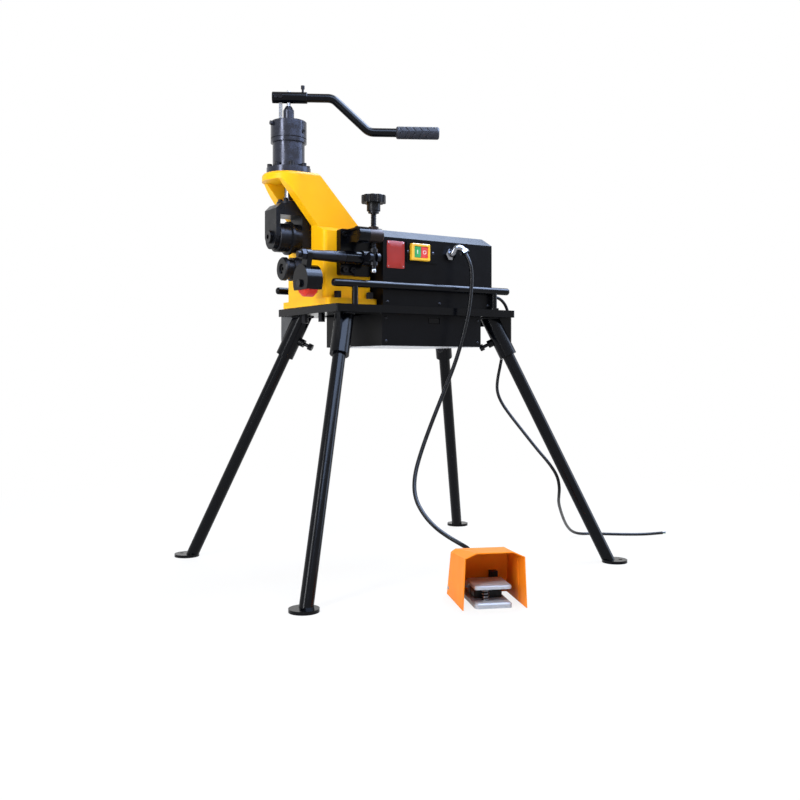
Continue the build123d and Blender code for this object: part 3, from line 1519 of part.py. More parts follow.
keep(turned(along_x(guard_y, guide_roller_z), stepped(guard_front_x - guide_axle_head, [
    (guide_axle_head, guide_axle_head_r),
    (roller_rear_x + roll_side_gap - guard_front_x, guide_axle_r),
    (guide_axle_head, guide_axle_head_r),
])), "guide_roller_axle")

# Swing shaft: a nose with its nut through the crank, a taper up to the sleeve, and the fork at the rear
with BuildPart() as swing_shaft:
    for cheek_x in (fork_x - fork_gap / 2 - fork_cheek, fork_x + fork_gap / 2):
        with BuildSketch(Plane.YZ.offset(cheek_x)):
            with Locations((fork_y, swing_z)):
                Circle(fork_round_r)
            with Locations(((fork_y + swing_y) / 2, swing_z)):
                Rectangle(fork_arm, 2 * fork_bar_half)
            with Locations((swing_y, swing_z)):
                Circle(fork_hub_r)
        extrude(amount=fork_cheek)
    with BuildSketch(Plane.YZ.offset(fork_x - fork_gap / 2)):
        with Locations((swing_y, swing_z)):
            Circle(fork_hub_r)
    extrude(amount=fork_gap)
    add(turned(along_x(swing_y, swing_z), [
        (swing_front_x, 0),
        (swing_front_x, swing_nose_r),
        (crank_back_x, swing_nose_r),
        (crank_back_x, swing_taper_front_r),
        (bracket_front_x - face_gap, swing_taper_rear_r),
        (bracket_front_x - face_gap, swing_shaft_r),
        (fork_rear_x, swing_shaft_r),
        (fork_rear_x, 0),
    ]))
with BuildPart() as swing_nut_piece:
    with BuildSketch(Plane.YZ.offset(guard_back_x - swing_nut)):
        with Locations((swing_y, swing_z)):
            RegularPolygon(swing_nut_af / 2, 6, major_radius=False)
            Circle(swing_nose_r + running_gap, mode=Mode.SUBTRACT)
    extrude(amount=swing_nut)
keep(group([swing_shaft.part, swing_nut_piece.part]), "swing_shaft")

washer_seat = fork_round_r + fork_play
thrust_washers = []
for washer_z in (swing_z + washer_seat, swing_z - washer_seat - thrust_washer):
    thrust_washers.append(turned(along_z(fork_x, fork_y), [
        (washer_z, screw_neck_r + running_gap),
        (washer_z, screw_collar_r),
        (washer_z + thrust_washer, screw_collar_r),
        (washer_z + thrust_washer, screw_neck_r + running_gap),
    ]))
keep(group(thrust_washers), "thrust_washers")

collar_seat = washer_seat + thrust_washer + running_gap
keep(turned(along_z(fork_x, fork_y), [
    (screw_foot_z, 0),
    (screw_foot_z, screw_neck_r - screw_edge),
    (screw_foot_z + screw_edge, screw_neck_r),
    (swing_z - collar_seat - screw_collar, screw_neck_r),
    (swing_z - collar_seat - screw_collar, screw_collar_r),
    (swing_z - collar_seat, screw_collar_r),
    (swing_z - collar_seat, screw_neck_r),
    (swing_z + collar_seat, screw_neck_r),
    (swing_z + collar_seat, screw_collar_r),
    (swing_z + collar_seat + screw_collar, screw_collar_r),
    (swing_z + collar_seat + screw_collar, screw_r),
    (knob_seat_z, screw_r),
    (knob_seat_z, knob_washer_r),
    (knob_seat_z + knob_washer, knob_washer_r),
    (knob_seat_z + knob_washer, 0),
]), "adjusting_screw")

knob_low = knob_seat_z + knob_washer
with BuildPart() as star_knob:
    with BuildSketch(Plane.XY.offset(knob_low)):
        with Locations((fork_x, fork_y)):
            Circle(knob_hub_r)
    extrude(amount=knob_hub)
    with BuildSketch(Plane.XY.offset(knob_low + knob_hub)):
        with Locations((fork_x, fork_y)):
            Circle(knob_r)
            with PolarLocations(knob_r + knob_lobe_r / 2, knob_lobes):
                Circle(knob_lobe_r, mode=Mode.SUBTRACT)
    extrude(amount=knob_height)
    fillet(star_knob.edges().group_by(Axis.Z)[-1], radius=knob_edge)
keep(star_knob.part, "star_knob")


# Sheet covers: the drive cover on the plate and the control box below it
def cover_profile(inset, floor):
    half = cover_half_width - inset
    bevel = cover_bevel - inset * (math.sqrt(2) - 1)
    top = cover_top - inset
    return [(-half, floor), (-half, top - bevel), (-half + bevel, top), (half - bevel, top), (half, top - bevel),
            (half, floor)]


with BuildPart() as drive_cover:
    with BuildSketch(Plane.YZ.offset(cover_front_x)):
        with BuildLine():
            Polyline(*cover_profile(0, plate_top), close=True)
        make_face()
    extrude(amount=cover_rear_x - cover_front_x)
    rear_top = drive_cover.edges().filter_by(Axis.Y).group_by(Axis.Z)[-1].sort_by(Axis.X)[-1]
    chamfer(rear_top, length=cover_bevel - face_gap)
    with BuildSketch(Plane.YZ.offset(cover_front_x + sheet)):
        with BuildLine():
            Polyline(*cover_profile(sheet, plate_top), close=True)
        make_face()
    extrude(amount=cover_rear_x - cover_bevel - sheet - cover_front_x, mode=Mode.SUBTRACT)
    with BuildSketch(Plane.YZ.offset(cover_rear_x - cover_bevel - sheet)):
        with BuildLine():
            Polyline((-cover_half_width + sheet, plate_top),
                     (-cover_half_width + sheet, cover_side_top - sheet),
                     (cover_half_width - sheet, cover_side_top - sheet),
                     (cover_half_width - sheet, plate_top),
                     close=True)
        make_face()
    extrude(amount=cover_bevel, mode=Mode.SUBTRACT)
    with BuildSketch(Plane.YZ.offset(cover_front_x)):
        with Locations((0, drive_axis_z)):
            Circle(cover_front_hole_r)
    extrude(amount=sheet, mode=Mode.SUBTRACT)
    with BuildSketch(Plane.YZ.offset(cover_rear_x - sheet)):
        with Locations((gear_centre, rear_vent_z)):
            with GridLocations(1, rear_vent_pitch, 1, rear_vent_count):
                SlotOverall(rear_vent_width, rear_vent_height)
    extrude(amount=sheet, mode=Mode.SUBTRACT)
    with BuildSketch(Plane.YZ.offset(cover_rear_x - sheet)):
        with Locations((rear_gland_y, rear_gland_z)):
            Circle(rear_gland_r + running_gap)
    extrude(amount=sheet, mode=Mode.SUBTRACT)
    with BuildSketch(Plane(origin=(gland_x, -cover_half_width, gland_z), x_dir=(1, 0, 0), z_dir=(0, 1, 0))):
        Circle(gland_tube_r + running_gap)
    extrude(amount=sheet, mode=Mode.SUBTRACT)
keep(drive_cover.part, "drive_cover")

box_middle_x = (box_front_x + box_rear_x) / 2
box_length = box_rear_x - box_front_x
with BuildPart() as control_box:
    with BuildSketch(Plane.XY.offset(box_floor_z)):
        with Locations((box_middle_x, 0)):
            Rectangle(box_length, 2 * cover_half_width)
    extrude(amount=frame_bottom - box_floor_z)
    with BuildSketch(Plane.XY.offset(box_floor_z + sheet)):
        with Locations((box_middle_x, -sheet)):
            Rectangle(box_length - 2 * sheet, 2 * cover_half_width)
    extrude(amount=frame_bottom - box_floor_z, mode=Mode.SUBTRACT)
    with BuildSketch(Plane.XY.offset(box_floor_z)):
        with Locations((box_middle_x, -cover_half_width)):
            Rectangle(box_length, 2 * sheet)
    extrude(amount=frame_bottom - box_floor_z, mode=Mode.SUBTRACT)
keep(control_box.part, "control_box")

front_panel = Plane(origin=(0, -cover_half_width, 0), x_dir=(1, 0, 0), z_dir=(0, -1, 0))
with BuildPart() as box_door:
    with BuildSketch(front_panel.offset(-sheet)):
        with Locations((box_middle_x, (box_floor_z + frame_bottom) / 2)):
            RectangleRounded(box_length, frame_bottom - box_floor_z, sheet)
    extrude(amount=sheet)
    with BuildSketch(front_panel.offset(-latch_depth)):
        with Locations((latch_x, latch_z)):
            RectangleRounded(latch_width + 2 * sheet, latch_height + 2 * sheet, sheet)
    extrude(amount=latch_depth)
    with BuildSketch(front_panel):
        with Locations((latch_x, latch_z)):
            RectangleRounded(latch_width, latch_height, sheet)
    extrude(amount=sheet - latch_depth, mode=Mode.SUBTRACT)
keep(box_door.part, "control_box_door")

with BuildPart() as contactor:
    with BuildSketch(Plane.XY.offset(box_floor_z + sheet)):
        with Locations((box_middle_x, 0)):
            Rectangle(contactor_size[0], contactor_size[1])
    extrude(amount=contactor_shoulder)
    with BuildSketch(Plane.XY.offset(box_floor_z + sheet)):
        with Locations((box_middle_x, 0)):
            Rectangle(contactor_size[0], contactor_size[1] / 2)
    extrude(amount=contactor_size[2])
keep(contactor.part, "contactor")

# Push-button switch: backing plate, yellow bezel and two rectangular buttons
window = (bezel_size[0] - 2 * bezel_wall, bezel_size[1] - 2 * bezel_wall)
with BuildPart() as switch_plate:
    with BuildSketch(front_panel):
        with Locations(switch_plate_centre):
            RectangleRounded(switch_plate_size[0], switch_plate_size[1], bezel_corner_r)
        with Locations(bezel_centre):
            Rectangle(window[0], window[1], mode=Mode.SUBTRACT)
    extrude(amount=switch_plate_thickness)
keep(switch_plate.part, "switch_plate")

with BuildPart() as switch_bezel:
    with BuildSketch(front_panel.offset(switch_plate_thickness)):
        with Locations(bezel_centre):
            RectangleRounded(bezel_size[0], bezel_size[1], bezel_corner_r)
    extrude(amount=bezel_depth)
    chamfer(switch_bezel.faces().sort_by(Axis.Y)[0].edges(), length=bezel_edge)
    with BuildSketch(front_panel.offset(switch_plate_thickness)):
        with Locations(bezel_centre):
            Rectangle(window[0], window[1])
    extrude(amount=bezel_depth, mode=Mode.SUBTRACT)
keep(switch_bezel.part, "switch_bezel")

button_width = (window[0] - button_gap) / 2 - slide_gap
for button_name, side in (("start_button", -1), ("stop_button", 1)):
    with BuildPart() as button:
        with BuildSketch(front_panel.offset(switch_plate_thickness + button_proud - button_depth)):
            with Locations((bezel_centre[0] + side * (button_gap + button_width) / 2, bezel_centre[1])):
                RectangleRounded(button_width, window[1] - 2 * slide_gap, button_corner_r)
        extrude(amount=button_depth)
        fillet(button.faces().sort_by(Axis.Y)[0].edges(), radius=button_edge)
    keep(button.part, button_name)


# Cable elbow on the cover's side: hexagon base, bent tube and outlet nut
def route_radii(route):
    """Largest even bend at each inner point of a cord's route."""
    radii = []
    points = [Vector(*point) for point in route]
    for before, corner, after in zip(points, points[1:], points[2:]):
        run = min((corner - before).length, (after - corner).length)
        turn = (corner - before).get_angle(after - corner)
        radii.append(bend_share * run / math.tan(math.radians(turn / 2)))
    return radii


outlet_tip = Vector(gland_x + outlet_along, -cover_half_width - outlet_out, gland_z + outlet_rise)
nut_way = Vector(*outlet_way).normalized()
outlet_start = outlet_tip - nut_way * outlet_nut_length
elbow_route = [
    (gland_x, -cover_half_width + sheet, gland_z),
    (gland_x, -cover_half_width - elbow_reach, gland_z),
    (gland_x + elbow_knee[0], -cover_half_width - elbow_knee[1], gland_z + elbow_knee[2]),
    tuple(outlet_start - nut_way * elbow_lead),
    tuple(outlet_start + nut_way * outlet_nut_length / 2),
]
with BuildPart() as cable_elbow:
    with BuildLine() as elbow_path:
        FilletPolyline(*elbow_route, radius=route_radii(elbow_route))
    with BuildSketch(Plane(origin=elbow_path.line @ 0, z_dir=elbow_path.line % 0)):
        Circle(gland_tube_r)
    sweep(path=elbow_path.line)
    with BuildSketch(front_panel):
        with Locations((gland_x, gland_z)):
            RegularPolygon(gland_hex_af / 2, 6, major_radius=False)
    extrude(amount=gland_hex_length)
    with BuildSketch(Plane(origin=outlet_start, z_dir=nut_way)):
        RegularPolygon(outlet_nut_af / 2, 6, major_radius=False)
    extrude(amount=outlet_nut_length)
keep(cable_elbow.part, "cable_elbow")

keep(turned(along_x(rear_gland_y, rear_gland_z), [
    (cover_rear_x - sheet - rear_gland_flange, 0),
    (cover_rear_x - sheet - rear_gland_flange, rear_gland_flange_r),
    (cover_rear_x - sheet, rear_gland_flange_r),
    (cover_rear_x - sheet, rear_gland_r),
    (cover_rear_x, rear_gland_r),
    (cover_rear_x, rear_gland_flange_r),
    (cover_rear_x + rear_gland_flange, rear_gland_flange_r),
    (cover_rear_x + rear_gland_flange, rear_gland_r),
    (rear_gland_tip_x, rear_gland_tip_r),
    (rear_gland_tip_x, 0),
]), "power_cord_gland")


# Cords: round tubes along straight runs joined by tangent arcs
def cord(route, radius, name):
    radii = route_radii(route)
    with BuildPart() as tube:
        with BuildLine() as path:
            FilletPolyline(*route, radius=radii)
        with BuildSketch(Plane(origin=path.line @ 0, z_dir=path.line % 0)):
            Circle(radius)
        sweep(path=path.line)
    length = sum(edge.length for edge in path.edges())
    section = math.pi * radius ** 2
    print(f"{name}: length {length:.0f}, least radius {min(radii):.0f} at point {radii.index(min(radii)) + 1},"
          f" volume ratio {tube.part.volume / (section * length):.4f}")
    return tube.part


keep(cord(pedal_cord_route, pedal_cord_r, "pedal_cord"), "pedal_cord")
power_cord = cord(power_cord_route, power_cord_r, "power_cord")
cord_end = Vector(*power_cord_route[-1])
end_way = (cord_end - Vector(*power_cord_route[-2])).normalized()
with BuildPart() as power_tail:
    add(power_cord)
    with BuildSketch(Plane(origin=cord_end, x_dir=(0, 0, 1), z_dir=end_way)):
        with PolarLocations(power_core_spread, 3):
            Circle(power_core_r)
    extrude(amount=power_core_length)
keep(power_tail.part, "power_cord")

# Foot switch: cast base, hinged pedal on a spring, switch box and sheet hood
foot_turn = math.radians(hood_turn)
foot_u = Vector(math.cos(foot_turn), math.sin(foot_turn), 0)
foot_v = Vector(-math.sin(foot_turn), math.cos(foot_turn), 0)
foot_floor = Plane(origin=(hood_front[0], hood_front[1], 0), x_dir=foot_u, z_dir=(0, 0, 1))
foot_side = Plane(origin=foot_floor.origin, x_dir=foot_v, z_dir=foot_u)


def foot_cross(v):
    """Upright plane across the foot switch at a distance behind its front, u to the right and z up."""
    return Plane(origin=foot_floor.from_local_coords((0, v, 0)), x_dir=foot_u, z_dir=-foot_v)


hood_rear_top_z = hood_rear_shoulder_z + hood_rear_rise
hood_rear = Plane(
    origin=foot_floor.from_local_coords((0, hood_length, 0)),
    x_dir=foot_u,
    z_dir=foot_v * hood_rear_top_z + Vector(0, 0, hood_lean),
)
hood_slope = hood_lean / hood_rear_top_z
base_rear_v = hood_length - hood_sheet * math.hypot(1, hood_slope) - hood_slope * base_thickness - face_gap
post_u = pedal_width / 2 - pedal_lug_width - pedal_post_width / 2 - face_gap
with BuildPart() as foot_base:
    with BuildSketch(foot_floor):
        with Locations((0, (base_front_v + base_rear_v) / 2)):
            RectangleRounded(base_width, base_rear_v - base_front_v, foot_corner_r)
    extrude(amount=base_thickness)
    chamfer(foot_base.faces().sort_by(Axis.Z)[-1].edges(), length=base_edge)
    for side in (-1, 1):
        with BuildSketch(foot_side.offset(side * post_u - pedal_post_width / 2)):
            with Locations((pedal_pivot_v, pedal_pivot_z)):
                Circle(pedal_knuckle_r)
            with Locations((pedal_pivot_v, pedal_pivot_z / 2)):
                Rectangle(2 * pedal_knuckle_r, pedal_pivot_z)
        extrude(amount=pedal_post_width)
        with BuildSketch(foot_side.offset(side * post_u - pedal_post_width / 2)):
            with Locations((pedal_pivot_v, pedal_pivot_z)):
                Circle(pedal_pin_r)
        extrude(amount=pedal_post_width, mode=Mode.SUBTRACT)
keep(foot_base.part, "foot_switch_base")

with BuildPart() as foot_pedal:
    with BuildSketch(foot_floor.offset(pedal_z)):
        with Locations((0, (pedal_front_v + pedal_rear_v) / 2)):
            RectangleRounded(pedal_width, pedal_rear_v - pedal_front_v, foot_corner_r)
    extrude(amount=pedal_thickness)
    chamfer(foot_pedal.faces().sort_by(Axis.Z)[-1].edges(), length=pedal_edge)
    for side in (-1, 1):
        lug_start = side * (pedal_width / 2 - pedal_lug_width / 2) - pedal_lug_width / 2
        with BuildSketch(foot_side.offset(lug_start)):
            with Locations((pedal_pivot_v, pedal_pivot_z)):
                Circle(pedal_knuckle_r)
            with Locations((pedal_rear_v - foot_corner_r - pedal_lug_width, pedal_z + pedal_edge)):
                Rectangle(2 * pedal_lug_width, 2 * pedal_edge)
            make_hull()
        extrude(amount=pedal_lug_width)
        with BuildSketch(foot_side.offset(lug_start)):
            with Locations((pedal_pivot_v, pedal_pivot_z)):
                Circle(pedal_pin_r + running_gap)
        extrude(amount=pedal_lug_width, mode=Mode.SUBTRACT)
keep(foot_pedal.part, "foot_pedal")

pin_half = pedal_width / 2 + pedal_pin_proud
with BuildPart() as pedal_pin:
    with BuildSketch(foot_side.offset(-pin_half)):
        with Locations((pedal_pivot_v, pedal_pivot_z)):
            Circle(pedal_pin_r)
    extrude(amount=2 * pin_half)
keep(pedal_pin.part, "pedal_pin")

# The switch stands on the base behind the pedal, and the cord's gland on the back of the hood
box_middle_v = foot_box_front_v + foot_box_length / 2
box_end_u = foot_box_u + foot_box_width / 2 - foot_box_end_width / 2
with BuildPart() as foot_switch_box:
    with BuildSketch(foot_floor.offset(base_thickness)):
        with Locations((foot_box_u, box_middle_v)):
            Rectangle(foot_box_width, foot_box_length)
    extrude(amount=foot_box_height)
    with BuildSketch(foot_floor.offset(base_thickness)):
        with Locations((box_end_u, box_middle_v)):
            Rectangle(foot_box_end_width, foot_box_length)
    extrude(amount=foot_box_end_height)
gland_tip = Vector(*pedal_cord_route[-1])
gland_way = (gland_tip - Vector(*pedal_cord_route[-2])).normalized()
gland_run = (hood_rear.origin - gland_tip).dot(hood_rear.z_dir) / gland_way.dot(hood_rear.z_dir)
with BuildPart() as foot_gland:
    with BuildSketch(Plane(origin=gland_tip, z_dir=gland_way)):
        Circle(foot_gland_tip_r)
    with BuildSketch(Plane(origin=gland_tip + gland_way * (gland_run + foot_gland_r), z_dir=gland_way)):
        Circle(foot_gland_r)
    loft()
    split(bisect_by=hood_rear.offset(face_gap), keep=Keep.TOP)
keep(group([foot_switch_box.part, foot_gland.part]), "foot_switch_box")


def hood_outline(shoulder_in, shoulder_z, top_in, rise, inset):
    """The hood's cross section: leaning sides, sloped shoulders and a flat top."""
    shoulder = hood_half_width - shoulder_in
    right = [
        (hood_half_width - inset, -inset),
        (shoulder - inset, shoulder_z - inset / 2),
        (shoulder - top_in - inset / 2, shoulder_z + rise - inset),
    ]
    return right + [(-across, high) for across, high in reversed(right)]


def hood_form(front_v, inset):
    """The hood's outer form, or the hollow that lies one sheet inside it."""
    front_points = hood_outline(
        hood_front_shoulder_in, hood_front_shoulder_z, hood_front_top_in, hood_front_rise, inset)
    rear_points = hood_outline(
        hood_rear_shoulder_in, hood_rear_shoulder_z, hood_rear_top_in, hood_rear_rise, inset)
    with BuildPart() as form:
        with BuildSketch(foot_cross(front_v)):
            with BuildLine():
                Polyline(*front_points, close=True)
            make_face()
        with BuildSketch(foot_cross(hood_length)):
            with BuildLine():
                Polyline(*rear_points, close=True)
            make_face()
        loft(ruled=True)
        split(bisect_by=hood_rear.offset(-inset), keep=Keep.BOTTOM)
    return form.part


with BuildPart() as foot_hood:
    add(hood_form(0, 0))
    add(hood_form(-hood_sheet, hood_sheet), mode=Mode.SUBTRACT)
keep(foot_hood.part, "foot_switch_hood")

# Pedal spring: one round wire wound between the base and the pedal
spring_height = pedal_z - base_thickness - 2 * spring_wire_r
spring_pitch = spring_height / spring_turns
spring_place = foot_floor.from_local_coords((pedal_spring_u, pedal_spring_v, base_thickness + spring_wire_r))
with BuildPart() as pedal_spring:
    with BuildLine() as spring_path:
        Helix(pitch=spring_pitch, height=spring_height, radius=spring_r, center=spring_place)
    with BuildSketch(Plane(origin=spring_path.line @ 0, z_dir=spring_path.line % 0)):
        Circle(spring_wire_r)
    sweep(path=spring_path.line, is_frenet=True)
keep(pedal_spring.part, "pedal_spring")
print(f"pedal spring: gap between turns {spring_pitch - 2 * spring_wire_r:.2f}")
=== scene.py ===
import math

import bmesh
import bpy
import numpy as np
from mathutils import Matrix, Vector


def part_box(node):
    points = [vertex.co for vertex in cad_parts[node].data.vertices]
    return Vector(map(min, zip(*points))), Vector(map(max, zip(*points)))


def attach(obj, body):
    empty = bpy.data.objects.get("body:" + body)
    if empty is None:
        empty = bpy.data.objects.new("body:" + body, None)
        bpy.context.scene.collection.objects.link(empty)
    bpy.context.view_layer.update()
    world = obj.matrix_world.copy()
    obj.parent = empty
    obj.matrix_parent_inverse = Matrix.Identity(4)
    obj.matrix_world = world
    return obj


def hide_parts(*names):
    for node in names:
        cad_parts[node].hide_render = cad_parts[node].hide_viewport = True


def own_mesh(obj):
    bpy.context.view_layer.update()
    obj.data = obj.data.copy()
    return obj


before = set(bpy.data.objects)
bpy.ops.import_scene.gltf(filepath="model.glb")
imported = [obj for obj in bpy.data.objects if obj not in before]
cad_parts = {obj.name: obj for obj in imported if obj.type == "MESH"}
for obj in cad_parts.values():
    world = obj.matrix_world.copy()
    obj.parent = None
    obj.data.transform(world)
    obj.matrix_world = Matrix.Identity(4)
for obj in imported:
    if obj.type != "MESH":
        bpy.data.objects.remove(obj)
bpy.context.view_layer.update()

# The studio: a camera low in front of the machine and to its left, and a pale floor that keeps a soft
# shadow. Softboxes left and in front and panels above and behind light the machine. Three cool panels,
# in front, overhead and on the right, only show as sheen on the black enamel and add no light.
image_side = 800
focal_pixels = 936.89
middle_right, middle_down = 10, 32.3
camera_data = bpy.data.cameras.new("studio_camera")
camera_data.sensor_width = 36
camera_data.lens = focal_pixels / image_side * 36
camera_data.shift_x = -middle_right / image_side
camera_data.shift_y = -middle_down / image_side
camera_data.clip_end = 50
camera = bpy.data.objects.new("studio_camera", camera_data)
camera.location = (-1.4353, -2.2404, 0.543)
camera.rotation_euler = (math.radians(90), 0, math.radians(-33.42))
bpy.context.collection.objects.link(camera)
bpy.context.scene.camera = camera
bpy.context.scene.view_settings.view_transform = "Standard"


def put(nodes, kind, **values):
    """One shader node with its inputs set by name; an underscore in a name stands for a space."""
    node = nodes.new(kind)
    for key, value in values.items():
        node.inputs[key.replace("_", " ")].default_value = value
    return node


def reckon(nodes, links, operation, first, second):
    """A Math node; each of its two inputs is a number or another node's output."""
    node = nodes.new("ShaderNodeMath")
    node.operation = operation
    for socket, value in zip(node.inputs, (first, second)):
        if isinstance(value, (int, float)):
            socket.default_value = value
        else:
            links.new(value, socket)
    return node.outputs[0]


def seen_rays(nodes, links):
    """1 for rays that show the background as such: from the camera, by reflection or through glass."""
    path = nodes.new("ShaderNodeLightPath").outputs
    direct = reckon(nodes, links, "MAXIMUM", path["Is Camera Ray"], path["Is Glossy Ray"])
    return reckon(nodes, links, "MAXIMUM", direct, path["Is Transmission Ray"])


world = bpy.data.worlds.new("studio_world")
world.use_nodes = True
bpy.context.scene.world = world
world_nodes, world_links = world.node_tree.nodes, world.node_tree.links
world_nodes.clear()
room = put(world_nodes, "ShaderNodeBackground", Color=(0.82, 0.88, 1.0, 1), Strength=0.40)
white = put(world_nodes, "ShaderNodeBackground", Color=(1, 1, 1, 1), Strength=1.0)
pick = world_nodes.new("ShaderNodeMixShader")
world_out = world_nodes.new("ShaderNodeOutputWorld")
world_links.new(seen_rays(world_nodes, world_links), pick.inputs[0])
world_links.new(room.outputs[0], pick.inputs[1])
world_links.new(white.outputs[0], pick.inputs[2])
world_links.new(pick.outputs[0], world_out.inputs[0])

# Each lamp has a name, a place, an aim, a size in metres, a power in watts, a tint and a use.
lamps = [
    ("softbox_left", (-2.9, -1.0, 1.5), (-0.1, 0, 0.75), (0.6, 2.2), 70, (0.92, 0.95, 1.0), "both"),
    ("softbox_front", (-0.5, -2.6, 3.3), (0, 0, 0.6), (1.8, 1.2), 55, (1.0, 0.98, 0.95), "light"),
    ("panel_above", (1.3, 0.1, 3.4), (0.2, 0, 0.7), (1.5, 1.5), 80, (0.66, 0.79, 1.0), "both"),
    ("panel_behind", (1.4, 2.7, 2.1), (0, 0, 0.7), (1.8, 1.8), 45, (1.0, 1.0, 1.0), "light"),
    ("sheen_front", (0.2, -2.0, 3.0), (0, 0, 0.4), (3.4, 1.8), 300, (0.50, 0.66, 1.0), "sheen"),
    ("sheen_over", (1.65, -0.77, 3.2), (0, -0.17, 0.8), (2.0, 2.4), 377, (0.50, 0.65, 1.0), "sheen"),
    ("sheen_right", (2.8, -1.2, 1.5), (0.1, 0, 0.7), (1.3, 2.2), 55, (0.55, 0.70, 1.0), "sheen"),
]
for name, place, aim, size, power, tint, use in lamps:
    lamp = bpy.data.lights.new(name, "AREA")
    lamp.shape = "RECTANGLE"
    lamp.size, lamp.size_y = size
    lamp.energy = power
    lamp.color = tint
    holder = bpy.data.objects.new(name, lamp)
    way = np.array(aim) - np.array(place)
    holder.location = place
    tilt = math.acos(-way[2] / np.linalg.norm(way))
    holder.rotation_euler = (tilt, 0, math.atan2(way[1], way[0]) - math.pi / 2)
    holder.visible_camera = False
    holder.visible_diffuse = use != "sheen"
    holder.visible_glossy = use != "light"
    bpy.context.collection.objects.link(holder)


def surface(name, points, wrap_rows=False, wrap_columns=True, angle=40):
    """Mesh over a grid of points: each quad joins two neighbouring rows and two neighbouring columns.

    A wrapped direction joins its last line to its first, and points that fall together are merged,
    so a row drawn in to one point closes its end.
    """
    rows, columns = points.shape[:2]
    index = np.arange(rows * columns).reshape(rows, columns)
    down = np.roll(index, -1, axis=0)
    right = np.roll(index, -1, axis=1)
    cross = np.roll(down, -1, axis=1)
    quads = np.stack([index, right, cross, down], axis=-1)
    quads = quads[: rows if wrap_rows else rows - 1, : columns if wrap_columns else columns - 1]
    mesh = bpy.data.meshes.new(name)
    mesh.from_pydata(points.reshape(-1, 3), [], quads.reshape(-1, 4))
    form = bmesh.new()
    form.from_mesh(mesh)
    bmesh.ops.remove_doubles(form, verts=form.verts, dist=1e-6)
    bmesh.ops.dissolve_degenerate(form, edges=form.edges, dist=1e-7)
    bmesh.ops.recalc_face_normals(form, faces=form.faces)
    form.to_mesh(mesh)
    form.free()
    mesh.shade_smooth()
    mesh.set_sharp_from_angle(angle=math.radians(angle))
    piece = bpy.data.objects.new(name, mesh)
    bpy.context.collection.objects.link(piece)
    return piece


# The floor is white near its edges, and around the machine it lets a little of its shading through.
floor_reach = 9
floor_line = np.linspace(-floor_reach, floor_reach, 3)
floor_points = np.stack(np.meshgrid(floor_line, floor_line, [0.0]), axis=-1).reshape(3, 3, 3)
floor = surface("studio_floor", floor_points, wrap_columns=False)
floor_finish = bpy.data.materials.new("studio_floor")
floor_finish.use_nodes = True
floor_nodes, floor_links = floor_finish.node_tree.nodes, floor_finish.node_tree.links
floor_nodes.clear()
matt = put(floor_nodes, "ShaderNodeBsdfDiffuse", Color=(0.93, 0.93, 0.93, 1))
glow = put(floor_nodes, "ShaderNodeEmission", Color=(1, 1, 1, 1), Strength=1.0)
spot = floor_nodes.new("ShaderNodeTexCoord")
away = floor_nodes.new("ShaderNodeVectorMath")
away.operation = "LENGTH"
floor_links.new(spot.outputs["Object"], away.inputs[0])
fade = put(floor_nodes, "ShaderNodeMapRange", From_Min=0.9, From_Max=2.2, To_Min=0.84, To_Max=1.0)
floor_links.new(away.outputs["Value"], fade.inputs["Value"])
floor_seen = seen_rays(floor_nodes, floor_links)
share = reckon(floor_nodes, floor_links, "MULTIPLY", floor_seen, fade.outputs[0])
blend = floor_nodes.new("ShaderNodeMixShader")
floor_out = floor_nodes.new("ShaderNodeOutputMaterial")
floor_links.new(share, blend.inputs[0])
floor_links.new(matt.outputs[0], blend.inputs[1])
floor_links.new(glow.outputs[0], blend.inputs[2])
floor_links.new(blend.outputs[0], floor_out.inputs[0])
floor.data.materials.append(floor_finish)


# Cords: black rubber-sheathed cable. One hangs from the chrome elbow to the foot switch, the other
# leaves the drive cover's rear wall, leans on a leg and ends on the floor with three bare cores.
def effect(name, inputs, outputs):
    """A shader node group with named sockets; returns the group and its two ends."""
    kinds = {"vector": "NodeSocketVector", "colour": "NodeSocketColor", "value": "NodeSocketFloat"}
    group = bpy.data.node_groups.new(name, "ShaderNodeTree")
    for socket, kind in inputs:
        group.interface.new_socket(socket, in_out="INPUT", socket_type=kinds[kind])
    for socket, kind in outputs:
        group.interface.new_socket(socket, in_out="OUTPUT", socket_type=kinds[kind])
    return group, group.nodes.new("NodeGroupInput"), group.nodes.new("NodeGroupOutput")


def spread(group, source, low, high):
    """Map a 0.3 to 0.7 noise onto a range of values."""
    node = put(group.nodes, "ShaderNodeMapRange", From_Min=0.3, From_Max=0.7, To_Min=low, To_Max=high)
    group.links.new(source, node.inputs["Value"])
    return node.outputs[0]


def tinted(group, colour, shade):
    """Colour multiplied by a grey value."""
    node = group.nodes.new("ShaderNodeMix")
    node.data_type = "RGBA"
    node.blend_type = "MULTIPLY"
    node.inputs["Factor"].default_value = 1
    group.links.new(colour, node.inputs["A"])
    group.links.new(shade, node.inputs["B"])
    return node.outputs["Result"]


def cloud(group, place, scale, detail):
    """Noise at a place; the scale, a number or an output, is in grains per metre."""
    node = put(group.nodes, "ShaderNodeTexNoise", Detail=detail)
    group.links.new(place, node.inputs["Vector"])
    if isinstance(scale, (int, float)):
        node.inputs["Scale"].default_value = scale
    else:
        group.links.new(scale, node.inputs["Scale"])
    return node.outputs[0]


skin_outputs = [("Colour", "colour"), ("Roughness", "value"), ("Height", "value")]


